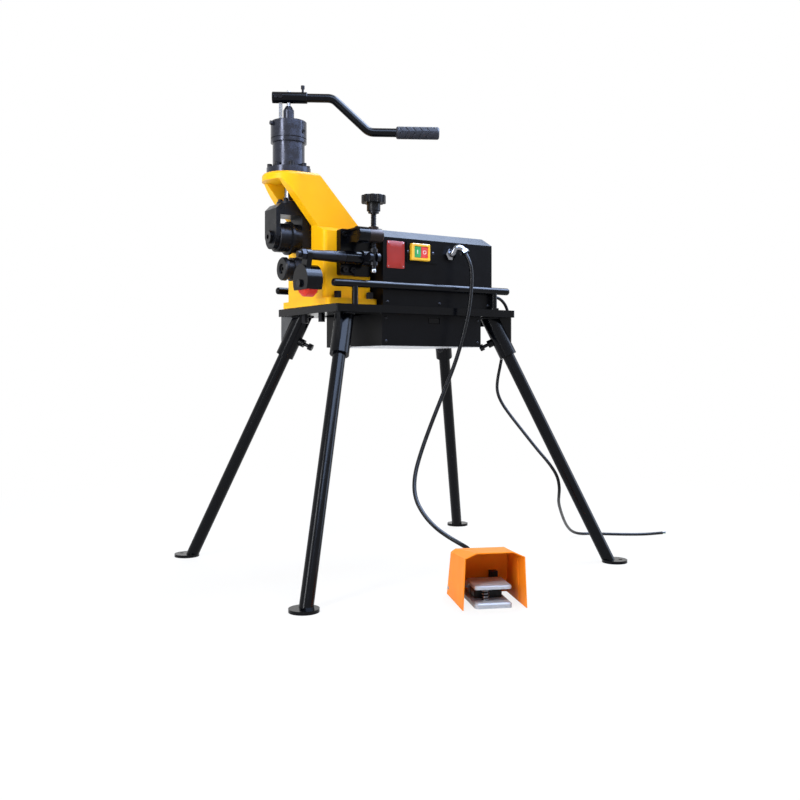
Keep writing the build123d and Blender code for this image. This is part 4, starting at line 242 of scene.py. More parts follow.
def grained_skin(name, shade, patch):
    """A skin of three noises: one shades the colour, one adds dull patches, and one is the grain's height.

    Shade and patch each hold the noise's scale and detail and the range that it is mapped onto.
    """
    inputs = [("Place", "vector"), ("Colour", "colour"), ("Dull", "value"), ("Grain", "value")]
    group, given, made = effect(name, inputs, skin_outputs)
    place, colour, dull, grain = (given.outputs[socket] for socket, kind in inputs)
    slow_shade = spread(group, cloud(group, place, *shade[:2]), *shade[2:])
    dull_patch = spread(group, cloud(group, place, *patch[:2]), *patch[2:])
    group.links.new(tinted(group, colour, slow_shade), made.inputs["Colour"])
    roughness = reckon(group.nodes, group.links, "ADD", dull_patch, dull)
    group.links.new(roughness, made.inputs["Roughness"])
    group.links.new(cloud(group, place, grain, 2), made.inputs["Height"])
    return group


def srgb(red, green, blue):
    """A screen colour of 0 to 255 as a linear colour."""
    part = np.array([red, green, blue]) / 255
    linear = np.where(part <= 0.04045, part / 12.92, ((part + 0.055) / 1.055) ** 2.4)
    return (*linear.tolist(), 1)


def finish(name, group, colour, relief, values, **constants):
    """A material: an effect on object coordinates, its relief in metres, and the shader's fixed values."""
    skin = bpy.data.materials.new(name)
    skin.use_nodes = True
    nodes, links = skin.node_tree.nodes, skin.node_tree.links
    shader = nodes["Principled BSDF"]
    for key, value in constants.items():
        shader.inputs[key.replace("_", " ")].default_value = value
    place = nodes.new("ShaderNodeTexCoord")
    use = nodes.new("ShaderNodeGroup")
    use.node_tree = group
    use.inputs["Colour"].default_value = colour
    for key, value in values.items():
        use.inputs[key].default_value = value
    height = put(nodes, "ShaderNodeBump", Strength=1.0, Distance=relief)
    links.new(place.outputs["Object"], use.inputs["Place"])
    links.new(use.outputs["Colour"], shader.inputs["Base Color"])
    links.new(use.outputs["Roughness"], shader.inputs["Roughness"])
    links.new(use.outputs["Height"], height.inputs["Height"])
    links.new(height.outputs["Normal"], shader.inputs["Normal"])
    return skin


# Rubber and moulded plastic: a slow change of shade, dull patches and a fine grain.
moulded = grained_skin("moulded_skin", shade=(22, 3, 0.88, 1.10), patch=(60, 5, -0.08, 0.12))
cord_rubber = finish("cord_rubber", moulded, srgb(12, 12, 15), 2e-5, {"Dull": 0.28, "Grain": 900},
                     Specular_IOR_Level=0.17)


def hang_cord(name, route, radius, skin):
    """A round cord: one smooth spline steered by the route's points, which are in millimetres."""
    curve = bpy.data.curves.new(name, "CURVE")
    curve.dimensions = "3D"
    curve.bevel_depth = radius
    curve.bevel_resolution = 5
    curve.use_fill_caps = True
    curve.resolution_u = 10
    spline = curve.splines.new("NURBS")
    points = np.ones((len(route), 4), dtype=np.float32)
    points[:, :3] = np.array(route) / 1000
    spline.points.add(len(route) - 1)
    spline.points.foreach_set("co", points.ravel())
    spline.order_u = 3
    spline.use_endpoint_u = True
    curve.materials.append(skin)
    piece = bpy.data.objects.new(name, curve)
    bpy.context.collection.objects.link(piece)
    return piece


pedal_route = [
    (101, -187, 855), (108, -198, 834), (110, -204, 796), (107, -205, 752), (102, -202, 698),
    (88, -196, 633), (66, -191, 560), (29, -188, 480), (-14, -189, 394), (-53, -196, 318),
    (-82, -209, 258), (-97, -234, 208), (-92, -268, 168), (-77, -297, 139), (-57.6, -325, 118),
    (-40, -357, 102), (-34.6, -387.6, 93), (-42.6, -417.4, 78),
]
pedal_cord = hang_cord("pedal_cord_line", pedal_route, 0.0055, cord_rubber)
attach(pedal_cord, "stand")
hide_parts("pedal_cord")

power_route = [
    (250, -85, 752), (279, -85, 752), (309, -86, 744), (329, -88, 719), (332, -90, 685),
    (325, -92, 643), (310, -93, 598), (300, -92, 550), (290, -90.5, 508), (286, -93, 474),
    (293, -105, 441), (308, -127, 405), (327, -158, 362), (350, -198, 308), (366, -232, 270),
    (377, -253, 236), (386, -252, 203), (400, -234, 176), (424, -206, 152), (466, -168, 122),
    (528, -114, 82), (596, -58, 44), (652, -22, 17), (697, -10, 4.6), (733, -25, 4.6),
    (766, -58, 4.6), (803, -90, 4.6), (842, -118, 4.6), (888, -137, 4.6), (934, -143, 4.6),
]
power_cord = hang_cord("power_cord_line", power_route, 0.0045, cord_rubber)
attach(power_cord, "stand")
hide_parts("power_cord")


def tube(name, path, radius, count=16, closed=False, ripple=1.0):
    """A round section carried along a path: at each point a ring stands square to the path's direction.

    Ripple is a factor on the radius along the path. Open ends are drawn in to the path and so closed.
    The rings start square to a slanted direction that no path here follows.
    """
    path = np.asarray(path, dtype=float)
    slant = (0.31, 0.17, 0.94)
    if closed:
        ahead = np.roll(path, -1, axis=0) - np.roll(path, 1, axis=0)
    else:
        ahead = np.gradient(path, axis=0)
    ahead /= np.linalg.norm(ahead, axis=1, keepdims=True)
    side = np.cross(ahead, slant)
    side /= np.linalg.norm(side, axis=1, keepdims=True)
    other = np.cross(ahead, side)
    angle = np.linspace(0, 2 * np.pi, count, endpoint=False)[None, :, None]
    reach = radius * np.broadcast_to(ripple, len(path))
    ring = np.cos(angle) * side[:, None] + np.sin(angle) * other[:, None]
    points = path[:, None] + reach[:, None, None] * ring
    if not closed:
        first = np.repeat(path[:1, None], count, axis=1)
        last = np.repeat(path[-1:, None], count, axis=1)
        points = np.concatenate([first, points, last])
    return surface(name, points, wrap_rows=closed)


# Bare cores at the power cord's end, each in its own colour, side by side.
core_length, core_radius, core_offset = 0.0138, 0.0012, 0.0019
core_shades = {0: srgb(96, 62, 40), 120: srgb(40, 70, 150), 240: srgb(80, 140, 60)}
cord_end = np.array(power_route[-1]) / 1000
end_way = np.subtract(power_route[-1], power_route[-2])
end_way = end_way / np.linalg.norm(end_way)
for turn, shade in core_shades.items():
    out = np.array([0, math.cos(math.radians(turn)), math.sin(math.radians(turn))])
    line = cord_end + end_way * np.linspace(0, core_length, 8)[:, None] + out * core_offset
    core = tube(f"cord_core_{turn}", line, core_radius, count=10)
    sheath = finish(f"core_sheath_{turn}", moulded, shade, 1e-5, {"Dull": 0.4, "Grain": 900})
    core.data.materials.append(sheath)
    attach(core, "stand")

# Stand: a steel plate on a welded ring frame, four tube legs in slanted sockets and two carrying rails,
# all in gloss black enamel, with black bolts. The sockets are welded on with a rippled bead.
enamel = grained_skin("gloss_enamel", shade=(9, 4, 0.93, 1.05), patch=(30, 4, -0.02, 0.03))
black_enamel = finish("black_enamel", enamel, srgb(5, 6, 10), 9e-6, {"Dull": 0.18, "Grain": 380},
                      Specular_IOR_Level=0.12)


def coat(skin, *nodes):
    """Give a finish to CAD pieces through their material slots."""
    for node in nodes:
        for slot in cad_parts[node].material_slots:
            slot.material = skin


coat(black_enamel, "stand_plate", "stand_frame", "leg_front_near", "leg_front_far", "leg_rear_near",
     "leg_rear_far", "carrying_rails")

# Turned and oxidised steel: marks drawn out across the lathe's feed, and rubbed patches.
metal_inputs = [("Place", "vector"), ("Colour", "colour"), ("Stretch", "vector"), ("Dull", "value")]
turned_metal, given, made = effect("turned_metal", metal_inputs, skin_outputs)
stretch = turned_metal.nodes.new("ShaderNodeVectorMath")
stretch.operation = "MULTIPLY"
turned_metal.links.new(given.outputs["Place"], stretch.inputs[0])
turned_metal.links.new(given.outputs["Stretch"], stretch.inputs[1])
marks = cloud(turned_metal, stretch.outputs[0], 1, 3)
mark_shade = tinted(turned_metal, given.outputs["Colour"], spread(turned_metal, marks, 0.84, 1.12))
rubbed = spread(turned_metal, cloud(turned_metal, given.outputs["Place"], 45, 5), -0.08, 0.10)
worn = reckon(turned_metal.nodes, turned_metal.links, "ADD", rubbed, given.outputs["Dull"])
turned_metal.links.new(mark_shade, made.inputs["Colour"])
turned_metal.links.new(worn, made.inputs["Roughness"])
turned_metal.links.new(marks, made.inputs["Height"])

black_oxide = finish("black_oxide", turned_metal, srgb(30, 30, 33), 6e-6,
                     {"Stretch": (60, 60, 900), "Dull": 0.30}, Metallic=0.85)
coat(black_oxide, "leg_clamp_screws", "frame_bolts")

# Weld beads: an ellipse where each slanted socket meets the frame's underside, rippled by the weld's steps.
leg_head = np.array([0.2385, 0.1195])
leg_run = np.array([0.2355, 0.2405])
leg_fall = 0.686
bead_reach, bead_height, bead_radius = 0.0255, 0.6852, 0.0032
bead_steps, bead_swell = 46, 0.12
splay = leg_run / np.linalg.norm(leg_run)
lean = math.cos(math.atan(np.linalg.norm(leg_run) / leg_fall))
sweep = np.linspace(0, 2 * np.pi, 160, endpoint=False)
bead_ripple = 1 + bead_swell * np.sin(sweep * bead_steps)
corners = {"front_near": (-1, -1), "front_far": (-1, 1), "rear_near": (1, -1), "rear_far": (1, 1)}
for corner, signs in corners.items():
    out = splay * signs
    aside = np.array([-out[1], out[0]])
    ring = leg_head * signs + bead_reach / lean * np.cos(sweep)[:, None] * out
    ring = ring + bead_reach * np.sin(sweep)[:, None] * aside
    line = np.column_stack([ring, np.full(len(sweep), bead_height)])
    bead = tube(f"weld_bead_{corner}", line, bead_radius, count=10, closed=True, ripple=bead_ripple)
    bead.data.materials.append(black_enamel)
    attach(bead, "stand")

# Cast frame: one iron casting in deep yellow enamel, its skin slightly uneven from the mould,
# machined where the cylinder and the bearings sit and bolted through the stand's plate.
yellow_enamel = finish("yellow_enamel", enamel, srgb(252, 186, 18), 1.2e-4, {"Dull": 0.32, "Grain": 150},
                       Specular_IOR_Level=0.14)
coat(yellow_enamel, "frame_casting")

# Drive: a hardened roll on a bearing-carried spindle, turned by a pinion and a geared motor under the
# cover. The roll's two tracks are knurled so that they grip the inside of the pipe.
machined_steel = finish("machined_steel", turned_metal, srgb(150, 151, 155), 4e-6,
                        {"Stretch": (900, 50, 50), "Dull": 0.28}, Metallic=1.0)
roll_steel = finish("roll_steel", turned_metal, srgb(26, 26, 29), 5e-6,
                    {"Stretch": (700, 40, 40), "Dull": 0.30}, Metallic=0.5, Specular_IOR_Level=0.15)
motor_grey = finish("motor_grey", enamel, srgb(110, 114, 120), 6e-5, {"Dull": 0.42, "Grain": 260})
coat(machined_steel, "drive_spindle", "spindle_gear", "motor_pinion", "spindle_bearings")
coat(motor_grey, "gear_motor")
coat(black_oxide, "drive_roll_bolt")


def lathe(name, start, way, profile, relief=None, count=96, angle=40):
    """A turned surface: each profile point (length, radius) in metres goes round the axis as a ring.

    Relief is a function of length and angle whose value is added to the radius.
    """
    way = np.array(way, dtype=float)
    way /= np.linalg.norm(way)
    side = np.cross(way, (0, 0, 1) if abs(way[2]) < 0.9 else (1, 0, 0))
    side /= np.linalg.norm(side)
    other = np.cross(way, side)
    length, radius = np.array(profile, dtype=float).T
    turn = np.linspace(0, 2 * np.pi, count, endpoint=False)
    reach = np.repeat(radius[:, None], count, axis=1)
    if relief is not None:
        reach = reach + relief(length[:, None], turn[None, :])
    ring = np.cos(turn)[:, None] * side + np.sin(turn)[:, None] * other
    points = np.array(start) + length[:, None, None] * way + reach[:, :, None] * ring[None]
    return surface(name, points, angle=angle)


def filled(profile, step):
    """The same profile with extra points, so that no two neighbours are further apart than a step."""
    profile = np.array(profile, dtype=float)
    rows = [profile[:1]]
    for first, last in zip(profile[:-1], profile[1:]):
        count = max(1, math.ceil(np.linalg.norm(last - first) / step))
        rows.append(first + (last - first) * np.linspace(0, 1, count + 1)[1:, None])
    return np.concatenate(rows)


def knurl(length, turn):
    """Diamond knurl: the lesser of two crossed triangle waves, one climbing to each hand.

    It is on the two tracks only, and not in the groove or on the stop collar.
    """
    ridges, climb, depth, crest = 40, 900, 0.0007, 0.9
    front_track = (length > 0.003) & (length < 0.0115)
    rear_track = (length > 0.0270) & (length < 0.0475)
    left = np.abs(((turn * ridges / np.pi + length * climb) % 2) - 1)
    right = np.abs(((turn * ridges / np.pi - length * climb) % 2) - 1)
    return (front_track | rear_track) * (np.minimum(left, right) - crest) * depth


drive_profile = [
    (0.012, 0.012), (0.012, 0.0135), (0.0004, 0.0135), (0, 0.0139), (0, 0.0278), (0.0004, 0.0282),
    (0.003, 0.0308), (0.0115, 0.031), (0.0117, 0.031), (0.0121, 0.0262), (0.0125, 0.026),
    (0.0261, 0.026), (0.0265, 0.0262), (0.0269, 0.031), (0.0475, 0.031), (0.048, 0.031),
    (0.048, 0.0366), (0.0484, 0.037), (0.0556, 0.037), (0.056, 0.0366), (0.056, 0.012),
]
roll_low, roll_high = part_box("drive_roll")
roll_front = (roll_low.x, (roll_low.y + roll_high.y) / 2, (roll_low.z + roll_high.z) / 2)
roll_line = filled(drive_profile, 0.0006)
drive_roll = lathe("knurled_drive_roll", roll_front, (1, 0, 0), roll_line, knurl, count=320)
drive_roll.data.materials.append(roll_steel)
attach(drive_roll, "drive_spindle")
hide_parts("drive_roll")

# Ram and upper roll: a chrome rod pushes a black steel yoke, which carries the grooving roll on a short
# axle. The yoke is milled from the solid and screwed to the rod; roll and axle are hardened and oiled.
hard_chrome = finish("hard_chrome", turned_metal, srgb(132, 134, 140), 1e-6,
                     {"Stretch": (40, 40, 500), "Dull": 0.14}, Metallic=1.0)
black_steel = finish("black_steel", turned_metal, srgb(21, 22, 27), 6e-6,
                     {"Stretch": (80, 80, 240), "Dull": 0.32}, Metallic=0.5, Specular_IOR_Level=0.2)
coat(hard_chrome, "ram_rod")
coat(black_steel, "yoke")
coat(black_oxide, "yoke_screws", "upper_roll_axle")
coat(roll_steel, "upper_roll")

# Cylinder and hand pump: a blued barrel with a screwed-on head, a bright fixed link and a black tube
# lever in a socket. The lever's rubber grip is moulded with a block tread between two plain end bands.
blued_steel = finish("blued_steel", turned_metal, srgb(50, 52, 62), 4e-6,
                     {"Stretch": (25, 25, 700), "Dull": 0.24}, Metallic=0.75)
coat(blued_steel, "cylinder_barrel", "cylinder_head")
coat(black_enamel, "lever_socket", "lever_tube")
coat(black_oxide, "flange_screws", "release_valve", "lever_pins")
coat(machined_steel, "fulcrum_link", "pump_plunger")
grip_rubber = finish("grip_rubber", moulded, srgb(40, 42, 50), 3e-5, {"Dull": 0.42, "Grain": 1600},
                     Specular_IOR_Level=0.18)
lever_turn = math.radians(-30)
lever_x, lever_height, lever_drop, grip_reach = -0.3405, 1.2556, 0.0885, 0.284
lever_way = np.array([math.cos(lever_turn), math.sin(lever_turn), 0])
grip_start = np.array([lever_x, 0, lever_height - lever_drop]) + lever_way * grip_reach


def tread(length, turn):
    """Block tread: strips round the grip, each cut by slanted grooves that lean the other way in the next.

    A shallower groove parts the strips, and all grooves run out before the plain end bands.
    """
    strips, groove_pitch, groove_lean, groove_depth = 6, 0.0185, 0.6, 0.0016
    groove_half, parting_start, flank = 0.095, 0.45, 0.03
    band_start, band_end, run_out = 0.008, 0.101, 0.002
    strip = turn * strips / (2 * np.pi)
    across = strip % 1 - 0.5
    slope = np.where(np.floor(strip) % 2 == 0, 1.0, -1.0)
    slant = (length / groove_pitch + slope * across * groove_lean) % 1 - 0.5
    cut = np.clip((groove_half - np.abs(slant)) / flank, 0, 1)
    parting = 0.5 * np.clip((np.abs(across) - parting_start) / flank, 0, 1)
    band = np.clip((length - band_start) / run_out, 0, 1) * np.clip((band_end - length) / run_out, 0, 1)
    return -groove_depth * np.maximum(cut, parting) * band


grip_profile = [
    (0, 0.0118), (0, 0.0138), (0.0004, 0.0144), (0.0028, 0.0163), (0.0034, 0.0165), (0.1108, 0.0165),
    (0.1112, 0.0163), (0.1137, 0.0140), (0.1140, 0.0135), (0.1140, 0.0022), (0.1128, 0.0019),
    (0.1126, 0),
]
grip = lathe("lever_grip_tread", grip_start, lever_way, filled(grip_profile, 0.0008), tread, count=216)
grip.data.materials.append(grip_rubber)
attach(grip, "pump_lever")
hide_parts("lever_grip")

# Pipe stabiliser: a black bracket on the casting, a swing shaft with a cranked guard and a red roller,
# and a threaded screw with a star knob that swings it through a fork. The swivel nut is browned steel.
browned_steel = finish("browned_steel", turned_metal, srgb(38, 30, 27), 6e-6,
                       {"Stretch": (60, 60, 400), "Dull": 0.34}, Metallic=0.5, Specular_IOR_Level=0.15)
coat(black_enamel, "stabiliser_bracket", "crank_guard")
coat(browned_steel, "swivel_nut")
coat(black_steel, "swing_shaft")
coat(black_oxide, "bracket_screws", "guide_roller_axle", "thrust_washers")
roller_red = finish("roller_red", moulded, srgb(196, 42, 26), 2e-5, {"Dull": 0.40, "Grain": 900},
                    Specular_IOR_Level=0.2)
coat(roller_red, "guide_roller")
knob_plastic = finish("knob_plastic", moulded, srgb(12, 12, 14), 2e-5, {"Dull": 0.34, "Grain": 1500},
                      Specular_IOR_Level=0.17)
coat(knob_plastic, "star_knob", "foot_switch_box", "contactor")


def thread(length, turn):
    """Screw thread on the shank: its depth is a triangle wave that climbs one pitch in each turn."""
    pitch, depth, flank, crest = 0.004, 0.0016, 1.6, 0.3
    shank = (length > 0.064) & (length < 0.151)
    wave = np.abs(((length / pitch - turn / (2 * np.pi)) % 1) * 2 - 1)
    return -depth * shank * np.clip(wave * flank - crest, 0, 1)


screw_profile = [
    (0, 0), (0, 0.005), (0.001, 0.006), (0.0188, 0.006), (0.0188, 0.0107), (0.0191, 0.011),
    (0.0255, 0.011), (0.0258, 0.0107), (0.0258, 0.006), (0.0541, 0.006), (0.0541, 0.0107),
    (0.0544, 0.011), (0.0608, 0.011), (0.0611, 0.0107), (0.0611, 0.0075), (0.153, 0.0075),
    (0.153, 0.0137), (0.1533, 0.014), (0.159, 0.014), (0.159, 0),
]
screw_low, screw_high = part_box("adjusting_screw")
screw_foot = ((screw_low.x + screw_high.x) / 2, (screw_low.y + screw_high.y) / 2, screw_low.z)
screw_line = filled(screw_profile, 0.0005)
screw = lathe("threaded_adjusting_screw", screw_foot, (0, 0, 1), screw_line, thread, count=48)
screw.data.materials.append(black_oxide)
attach(screw, "adjusting_screw")
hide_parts("adjusting_screw")


def thin_plate(name, centre, across, up, size, corner, thickness):
    """A thin plate: rings of a rounded rectangle, from its back's middle round the edge to its front's.

    The outline has straight sides with quarter circles at the corners, and the front's edge is eased.
    """
    turn = np.linspace(0, 2 * np.pi, 96, endpoint=False)
    c, s = np.cos(turn), np.sin(turn)
    half = np.array(size) / 2 - corner
    along = np.sign(c) * half[0] + corner * c
    rise = np.sign(s) * half[1] + corner * s
    across, up = np.array(across, dtype=float), np.array(up, dtype=float)
    out = np.cross(across, up)
    rows = [(0.0, 0.0), (1.0, 0.0), (1.0, 0.75), (0.992, 1.0), (0.5, 1.0), (0.0, 1.0)]
    scale, lift = np.array(rows).T[:, :, None, None]
    flat = along[:, None] * across + rise[:, None] * up
    points = np.array(centre) + scale * flat[None] + lift * thickness * out
    return surface(name, points)


# Backing plate between the bracket and the casting, seen behind the screw.
backing_width, backing_offset = 0.050, 0.0255
bracket_low, bracket_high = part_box("stabiliser_bracket")
bracket_middle = (bracket_low.z + bracket_high.z) / 2
backing_seat = (bracket_high.x + backing_offset, bracket_high.y, bracket_middle)
backing = thin_plate("bracket_backing", backing_seat, (1, 0, 0), (0, 0, 1),
                     (backing_width, bracket_high.z - bracket_low.z), 0.003, 0.006)
backing.data.materials.append(black_enamel)
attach(backing, "stand")

# Bright end of the screw: a plated cap pressed on its foot.
cap_profile = [
    (0.0001, 0), (0.0001, 0.0048), (0.0008, 0.0060), (0.0016, 0.0064), (0.0088, 0.0064), (0.0094, 0.0060),
]
screw_cap = lathe("screw_foot_cap", screw_foot, (0, 0, 1), cap_profile, count=48)
screw_cap.data.materials.append(machined_steel)
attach(screw_cap, "adjusting_screw")

# Drive cover and control box: folded sheet steel in satin black, held by small domed screws, with a
# pale metal floor under the box, whose light colour partly paints in the white floor's reflection. A plain
# red plate is riveted to the cover's wall.
black_sheet = finish("black_sheet", enamel, srgb(8, 8, 11), 8e-6, {"Dull": 0.30, "Grain": 700},
                     Specular_IOR_Level=0.08)
coat(black_sheet, "drive_cover", "control_box", "control_box_door", "switch_plate")
cover_low, cover_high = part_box("drive_cover")
box_low, box_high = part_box("control_box")
plate_low, plate_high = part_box("switch_plate")
bezel_low, bezel_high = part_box("switch_bezel")


def dome_screw(name, place, way, skin):
    """A small pan-head screw: a quarter ellipse turned round its axis, with a round recess in it."""
    head_height, head_reach, recess_radius = 0.0021, 0.0034, 0.0009
    arc = np.linspace(0, np.pi / 2, 9)
    rim = np.column_stack([head_height * np.sin(arc), head_reach * np.cos(arc) + recess_radius])
    profile = np.concatenate([[(0, 0)], rim, [(0.0010, 0.0008), (0.0008, 0)]])
    piece = lathe(name, place, way, profile, count=24)
    piece.data.materials.append(skin)
    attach(piece, "stand")


cover_margin, box_margin, foot_margin = 0.014, 0.012, 0.011
cover_row = np.linspace(cover_low.x + cover_margin, cover_high.x - cover_margin, 3)
cover_foot = cover_low.z + foot_margin
box_row = (box_low.x + box_margin, box_high.x - box_margin)
box_levels = (box_low.z + box_margin, box_high.z - box_margin)
cover_screws = [((x, y, cover_foot), (0, y, 0)) for x in cover_row for y in (cover_low.y, cover_high.y)]
cover_screws += [((cover_high.x, y, cover_foot), (1, 0, 0)) for y in (-0.14, 0.02, 0.14)]
cover_screws += [((x, cover_low.y, z), (0, -1, 0)) for x in box_row for z in box_levels]
for number, (place, way) in enumerate(cover_screws):
    dome_screw(f"cover_screw_{number}", place, way, black_oxide)
switch_middle = (plate_low.z + plate_high.z) / 2
switch_row = ((plate_low.x + bezel_low.x) / 2, (bezel_high.x + plate_high.x) / 2)
for number, x in enumerate(switch_row):
    seat = (x, plate_low.y, switch_middle)
    dome_screw(f"switch_screw_{number}", seat, (0, -1, 0), blued_steel)

# Red plate on the cover's wall, held by four rivets.
plate_red = finish("plate_red", moulded, srgb(168, 48, 40), 5e-6, {"Dull": 0.36, "Grain": 500},
                   Specular_IOR_Level=0.2)
plate_middle = np.array([-0.1025, cover_low.y, 0.842])
plate_size = (0.055, 0.072)
blank_plate = thin_plate("blank_red_plate", plate_middle, (1, 0, 0), (0, 0, 1), plate_size, 0.004, 0.0009)
blank_plate.data.materials.append(plate_red)
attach(blank_plate, "stand")
rivet_profile = [(0, 0.0015), (0.0004, 0.0014), (0.0007, 0.0008), (0.0008, 0)]
rivet_spots = [(-0.023, -0.031), (0.023, -0.031), (-0.023, 0.031), (0.023, 0.031)]
for number, (x, z) in enumerate(rivet_spots):
    seat = plate_middle + (x, -0.0008, z)
    rivet = lathe(f"plate_rivet_{number}", seat, (0, -1, 0), rivet_profile, count=20)
    rivet.data.materials.append(machined_steel)
    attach(rivet, "stand")

# Floor sheet of the control box, a pale metal a little smaller than the box; its light colour partly paints
# in the white floor's reflection.
pale_metal_and_reflection = finish("pale_metal_and_floor_reflection", turned_metal, srgb(196, 198, 202), 4e-6,
              {"Stretch": (60, 60, 60), "Dull": 0.40}, Metallic=0.7)
sheet_play = 0.002
box_middle = ((box_low.x + box_high.x) / 2, (box_low.y + box_high.y) / 2, box_low.z)
box_size = (box_high.x - box_low.x - sheet_play, box_high.y - box_low.y - sheet_play)
box_floor = thin_plate("box_floor_sheet", box_middle, (1, 0, 0), (0, -1, 0), box_size, 0.003, 0.0008)
box_floor.data.materials.append(pale_metal_and_reflection)
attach(box_floor, "stand")

# Latch paddle in the door's pocket.
latch_size, pocket_depth, latch_drop = (0.034, 0.013), 0.0058, 0.016
door_low, door_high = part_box("control_box_door")
latch_seat = (0.021, door_low.y + pocket_depth, door_high.z - latch_drop)
latch = thin_plate("door_latch_paddle", latch_seat, (1, 0, 0), (0, 0, 1), latch_size, 0.002, 0.0052)
latch.data.materials.append(black_enamel)
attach(latch, "stand")

# Push-button switch: a yellow moulded bezel with a green and a red button, marked with a bar and a
# ring. The buttons spring back, so each mark rides on its own button.
bezel_yellow = finish("bezel_yellow", moulded, srgb(248, 190, 36), 5e-6, {"Dull": 0.34, "Grain": 900})
start_green = finish("start_green", moulded, srgb(40, 168, 92), 5e-6, {"Dull": 0.32, "Grain": 900})
stop_red = finish("stop_red", moulded, srgb(222, 56, 52), 5e-6, {"Dull": 0.32, "Grain": 900})
mark_white = finish("mark_white", moulded, srgb(235, 235, 230), 2e-6, {"Dull": 0.40, "Grain": 900})
coat(bezel_yellow, "switch_bezel")
coat(start_green, "start_button")
coat(stop_red, "stop_button")
start_low, start_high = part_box("start_button")
stop_low, stop_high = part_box("stop_button")
start_middle = ((start_low.x + start_high.x) / 2, start_low.y, (start_low.z + start_high.z) / 2)
stop_middle = ((stop_low.x + stop_high.x) / 2, stop_low.y, (stop_low.z + stop_high.z) / 2)
bar_size, ring_radius, ring_wire = (0.0022, 0.011), 0.0046, 0.0007
bar = thin_plate("start_mark", start_middle, (1, 0, 0), (0, 0, 1), bar_size, 0.0008, 0.0003)
bar.data.materials.append(mark_white)
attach(bar, "start_button")
hoop = np.linspace(0, 2 * np.pi, 64, endpoint=False)
hoop_line = stop_middle + ring_radius * np.column_stack([np.cos(hoop), np.zeros(64), np.sin(hoop)])
stop_mark = tube("stop_mark", hoop_line, ring_wire, count=8, closed=True)
stop_mark.data.materials.append(mark_white)
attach(stop_mark, "stop_button")

# Cable ends on the cover: a chrome-plated bend with a hexagon base for the pedal cord, and a moulded
# strain relief with ring ribs for the power cord, clipped into the rear wall.
coat(hard_chrome, "cable_elbow")
gland_low, gland_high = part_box("power_cord_gland")
gland_foot = (gland_low.x, (gland_low.y + gland_high.y) / 2, (gland_low.z + gland_high.z) / 2)
gland_profile = [
    (0, 0), (0, 0.0137), (0.0003, 0.014), (0.004, 0.014), (0.004, 0.011), (0.006, 0.011),
    (0.006, 0.014), (0.0095, 0.014), (0.010, 0.0135), (0.010, 0.0108), (0.0355, 0.0066),
    (0.036, 0.0062), (0.036, 0),
]


def ribs(length, turn):
    """Ring ribs on the strain relief: a square-shouldered sine wave along its taper, the same all round."""
    pitch, depth, shoulder = 0.0043, 0.0011, 2.5
    taper = (length > 0.0125) & (length < 0.034)
    wave = np.clip(0.5 + shoulder * np.sin(length / pitch * 2 * np.pi), 0, 1)
    return -depth * taper * wave + 0 * turn


gland_line = filled(gland_profile, 0.0004)
power_gland = lathe("ribbed_power_gland", gland_foot, (1, 0, 0), gland_line, ribs, count=48)
power_gland.data.materials.append(knob_plastic)
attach(power_gland, "stand")
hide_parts("power_cord_gland")

# Foot switch: a bent sheet hood in orange enamel over a cast base and a sprung pedal with shallow ribs.
# Each side wall has a pressed bead and a small screw near its rear foot.
hood_orange = finish("hood_orange", enamel, srgb(250, 140, 30), 2e-5, {"Dull": 0.48, "Grain": 300},
                     Specular_IOR_Level=0.08)
cast_grey = finish("cast_grey", enamel, srgb(170, 174, 182), 5e-5, {"Dull": 0.44, "Grain": 700},
                   Metallic=0.1, Specular_IOR_Level=0.2)
coat(hood_orange, "foot_switch_hood")
coat(cast_grey, "foot_switch_base", "foot_pedal")
coat(machined_steel, "pedal_pin")
hood_turn = math.radians(-23.3)
hood_front = np.array([-0.117, -0.590, 0])
foot_right = np.array([math.cos(hood_turn), math.sin(hood_turn), 0])
foot_back = np.array([-math.sin(hood_turn), math.cos(hood_turn), 0])
foot_up = np.array([0, 0, 1])


def on_foot(right, back, height):
    """A place on the foot switch: right of its middle, behind its front edge and above the floor."""
    right, back, height = (part[..., None] for part in np.broadcast_arrays(right, back, height))
    return hood_front + right * foot_right + back * foot_back + height * foot_up


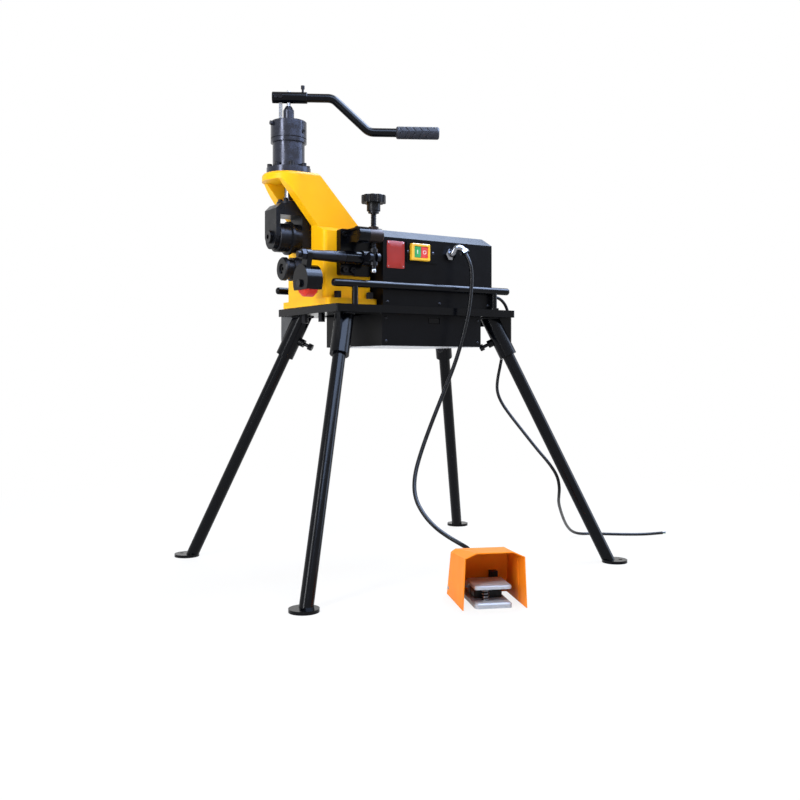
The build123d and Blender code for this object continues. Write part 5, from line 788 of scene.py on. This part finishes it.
# Pedal tread: a rib profile carried from the pedal's front to its rear, closed at both ends.
tread_half, rib_count, rib_pitch, rib_depth = 0.039, 241, 0.0039, 0.0009
tread_foot, tread_middle, tread_top = 0.0494, 0.0496, 0.0498
rib_across = np.linspace(-tread_half, tread_half, rib_count)
rib_wave = np.clip(0.5 + 1.4 * np.cos(rib_across * 2 * np.pi / rib_pitch), 0, 1)
loop_across = np.concatenate([rib_across, rib_across[::-1]])
loop_height = np.concatenate([tread_top + rib_depth * rib_wave, np.full(rib_count, tread_foot)])
rows_back = np.array([0.0165, 0.0165, 0.058, 0.0985, 0.0985])[:, None]
rows_open = np.array([0.0, 1.0, 1.0, 1.0, 0.0])[:, None]
rows_height = tread_middle + rows_open * (loop_height - tread_middle)
pedal_tread = surface("pedal_tread", on_foot(rows_open * loop_across, rows_back, rows_height))
pedal_tread.data.materials.append(cast_grey)
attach(pedal_tread, "foot_pedal")

# Return spring: one round wire of five turns, flat at both ends, between the base and the pedal.
spring_right, spring_back, spring_radius, spring_wire = -0.012, 0.040, 0.008, 0.0011
flat_turns, rising_turns = 0.6, 4
spring_low, spring_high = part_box("pedal_spring")
spring_turns = np.linspace(0, rising_turns + 2 * flat_turns, 251)
spring_angle = 2 * np.pi * spring_turns
spring_travel = spring_high.z - spring_low.z - 2 * spring_wire
spring_rise = np.clip((spring_turns - flat_turns) / rising_turns, 0, 1) * spring_travel
spring_line = on_foot(spring_right + spring_radius * np.cos(spring_angle),
                      spring_back + spring_radius * np.sin(spring_angle),
                      spring_low.z + spring_wire + spring_rise)
spring_seat = on_foot(spring_right, spring_back, spring_low.z)
spring = tube("pedal_return_spring", spring_line, spring_wire, count=12)
spring.data.materials.append(machined_steel)
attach(spring, "stand")
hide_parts("pedal_spring")
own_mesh(spring)

# Switch block under the pedal, between the base's two lugs.
block_size, block_height = (0.066, 0.046), 0.018
block_seat = on_foot(0, 0.083, 0.012)
switch_block = thin_plate("pedal_switch_block", block_seat, foot_right, foot_back,
                          block_size, 0.004, block_height)
switch_block.data.materials.append(knob_plastic)
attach(switch_block, "stand")

# Beads and screws of the hood's side walls, which lean in towards the top.
wall_foot, wall_lean, bead_back, hood_bead = 0.0732, 0.042, 0.055, 0.0017
wall_rise = np.linspace(0.004, 0.100, 12)
for side, wall in (("left", -1), ("right", 1)):
    line = on_foot(wall * (wall_foot - wall_lean * wall_rise), bead_back, wall_rise)
    bead = tube(f"hood_bead_{side}", line, hood_bead, count=12)
    bead.data.materials.append(hood_orange)
    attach(bead, "stand")
    seat = on_foot(wall * 0.0742, 0.150, 0.017)
    dome_screw(f"hood_screw_{side}", seat, wall * foot_right, machined_steel)
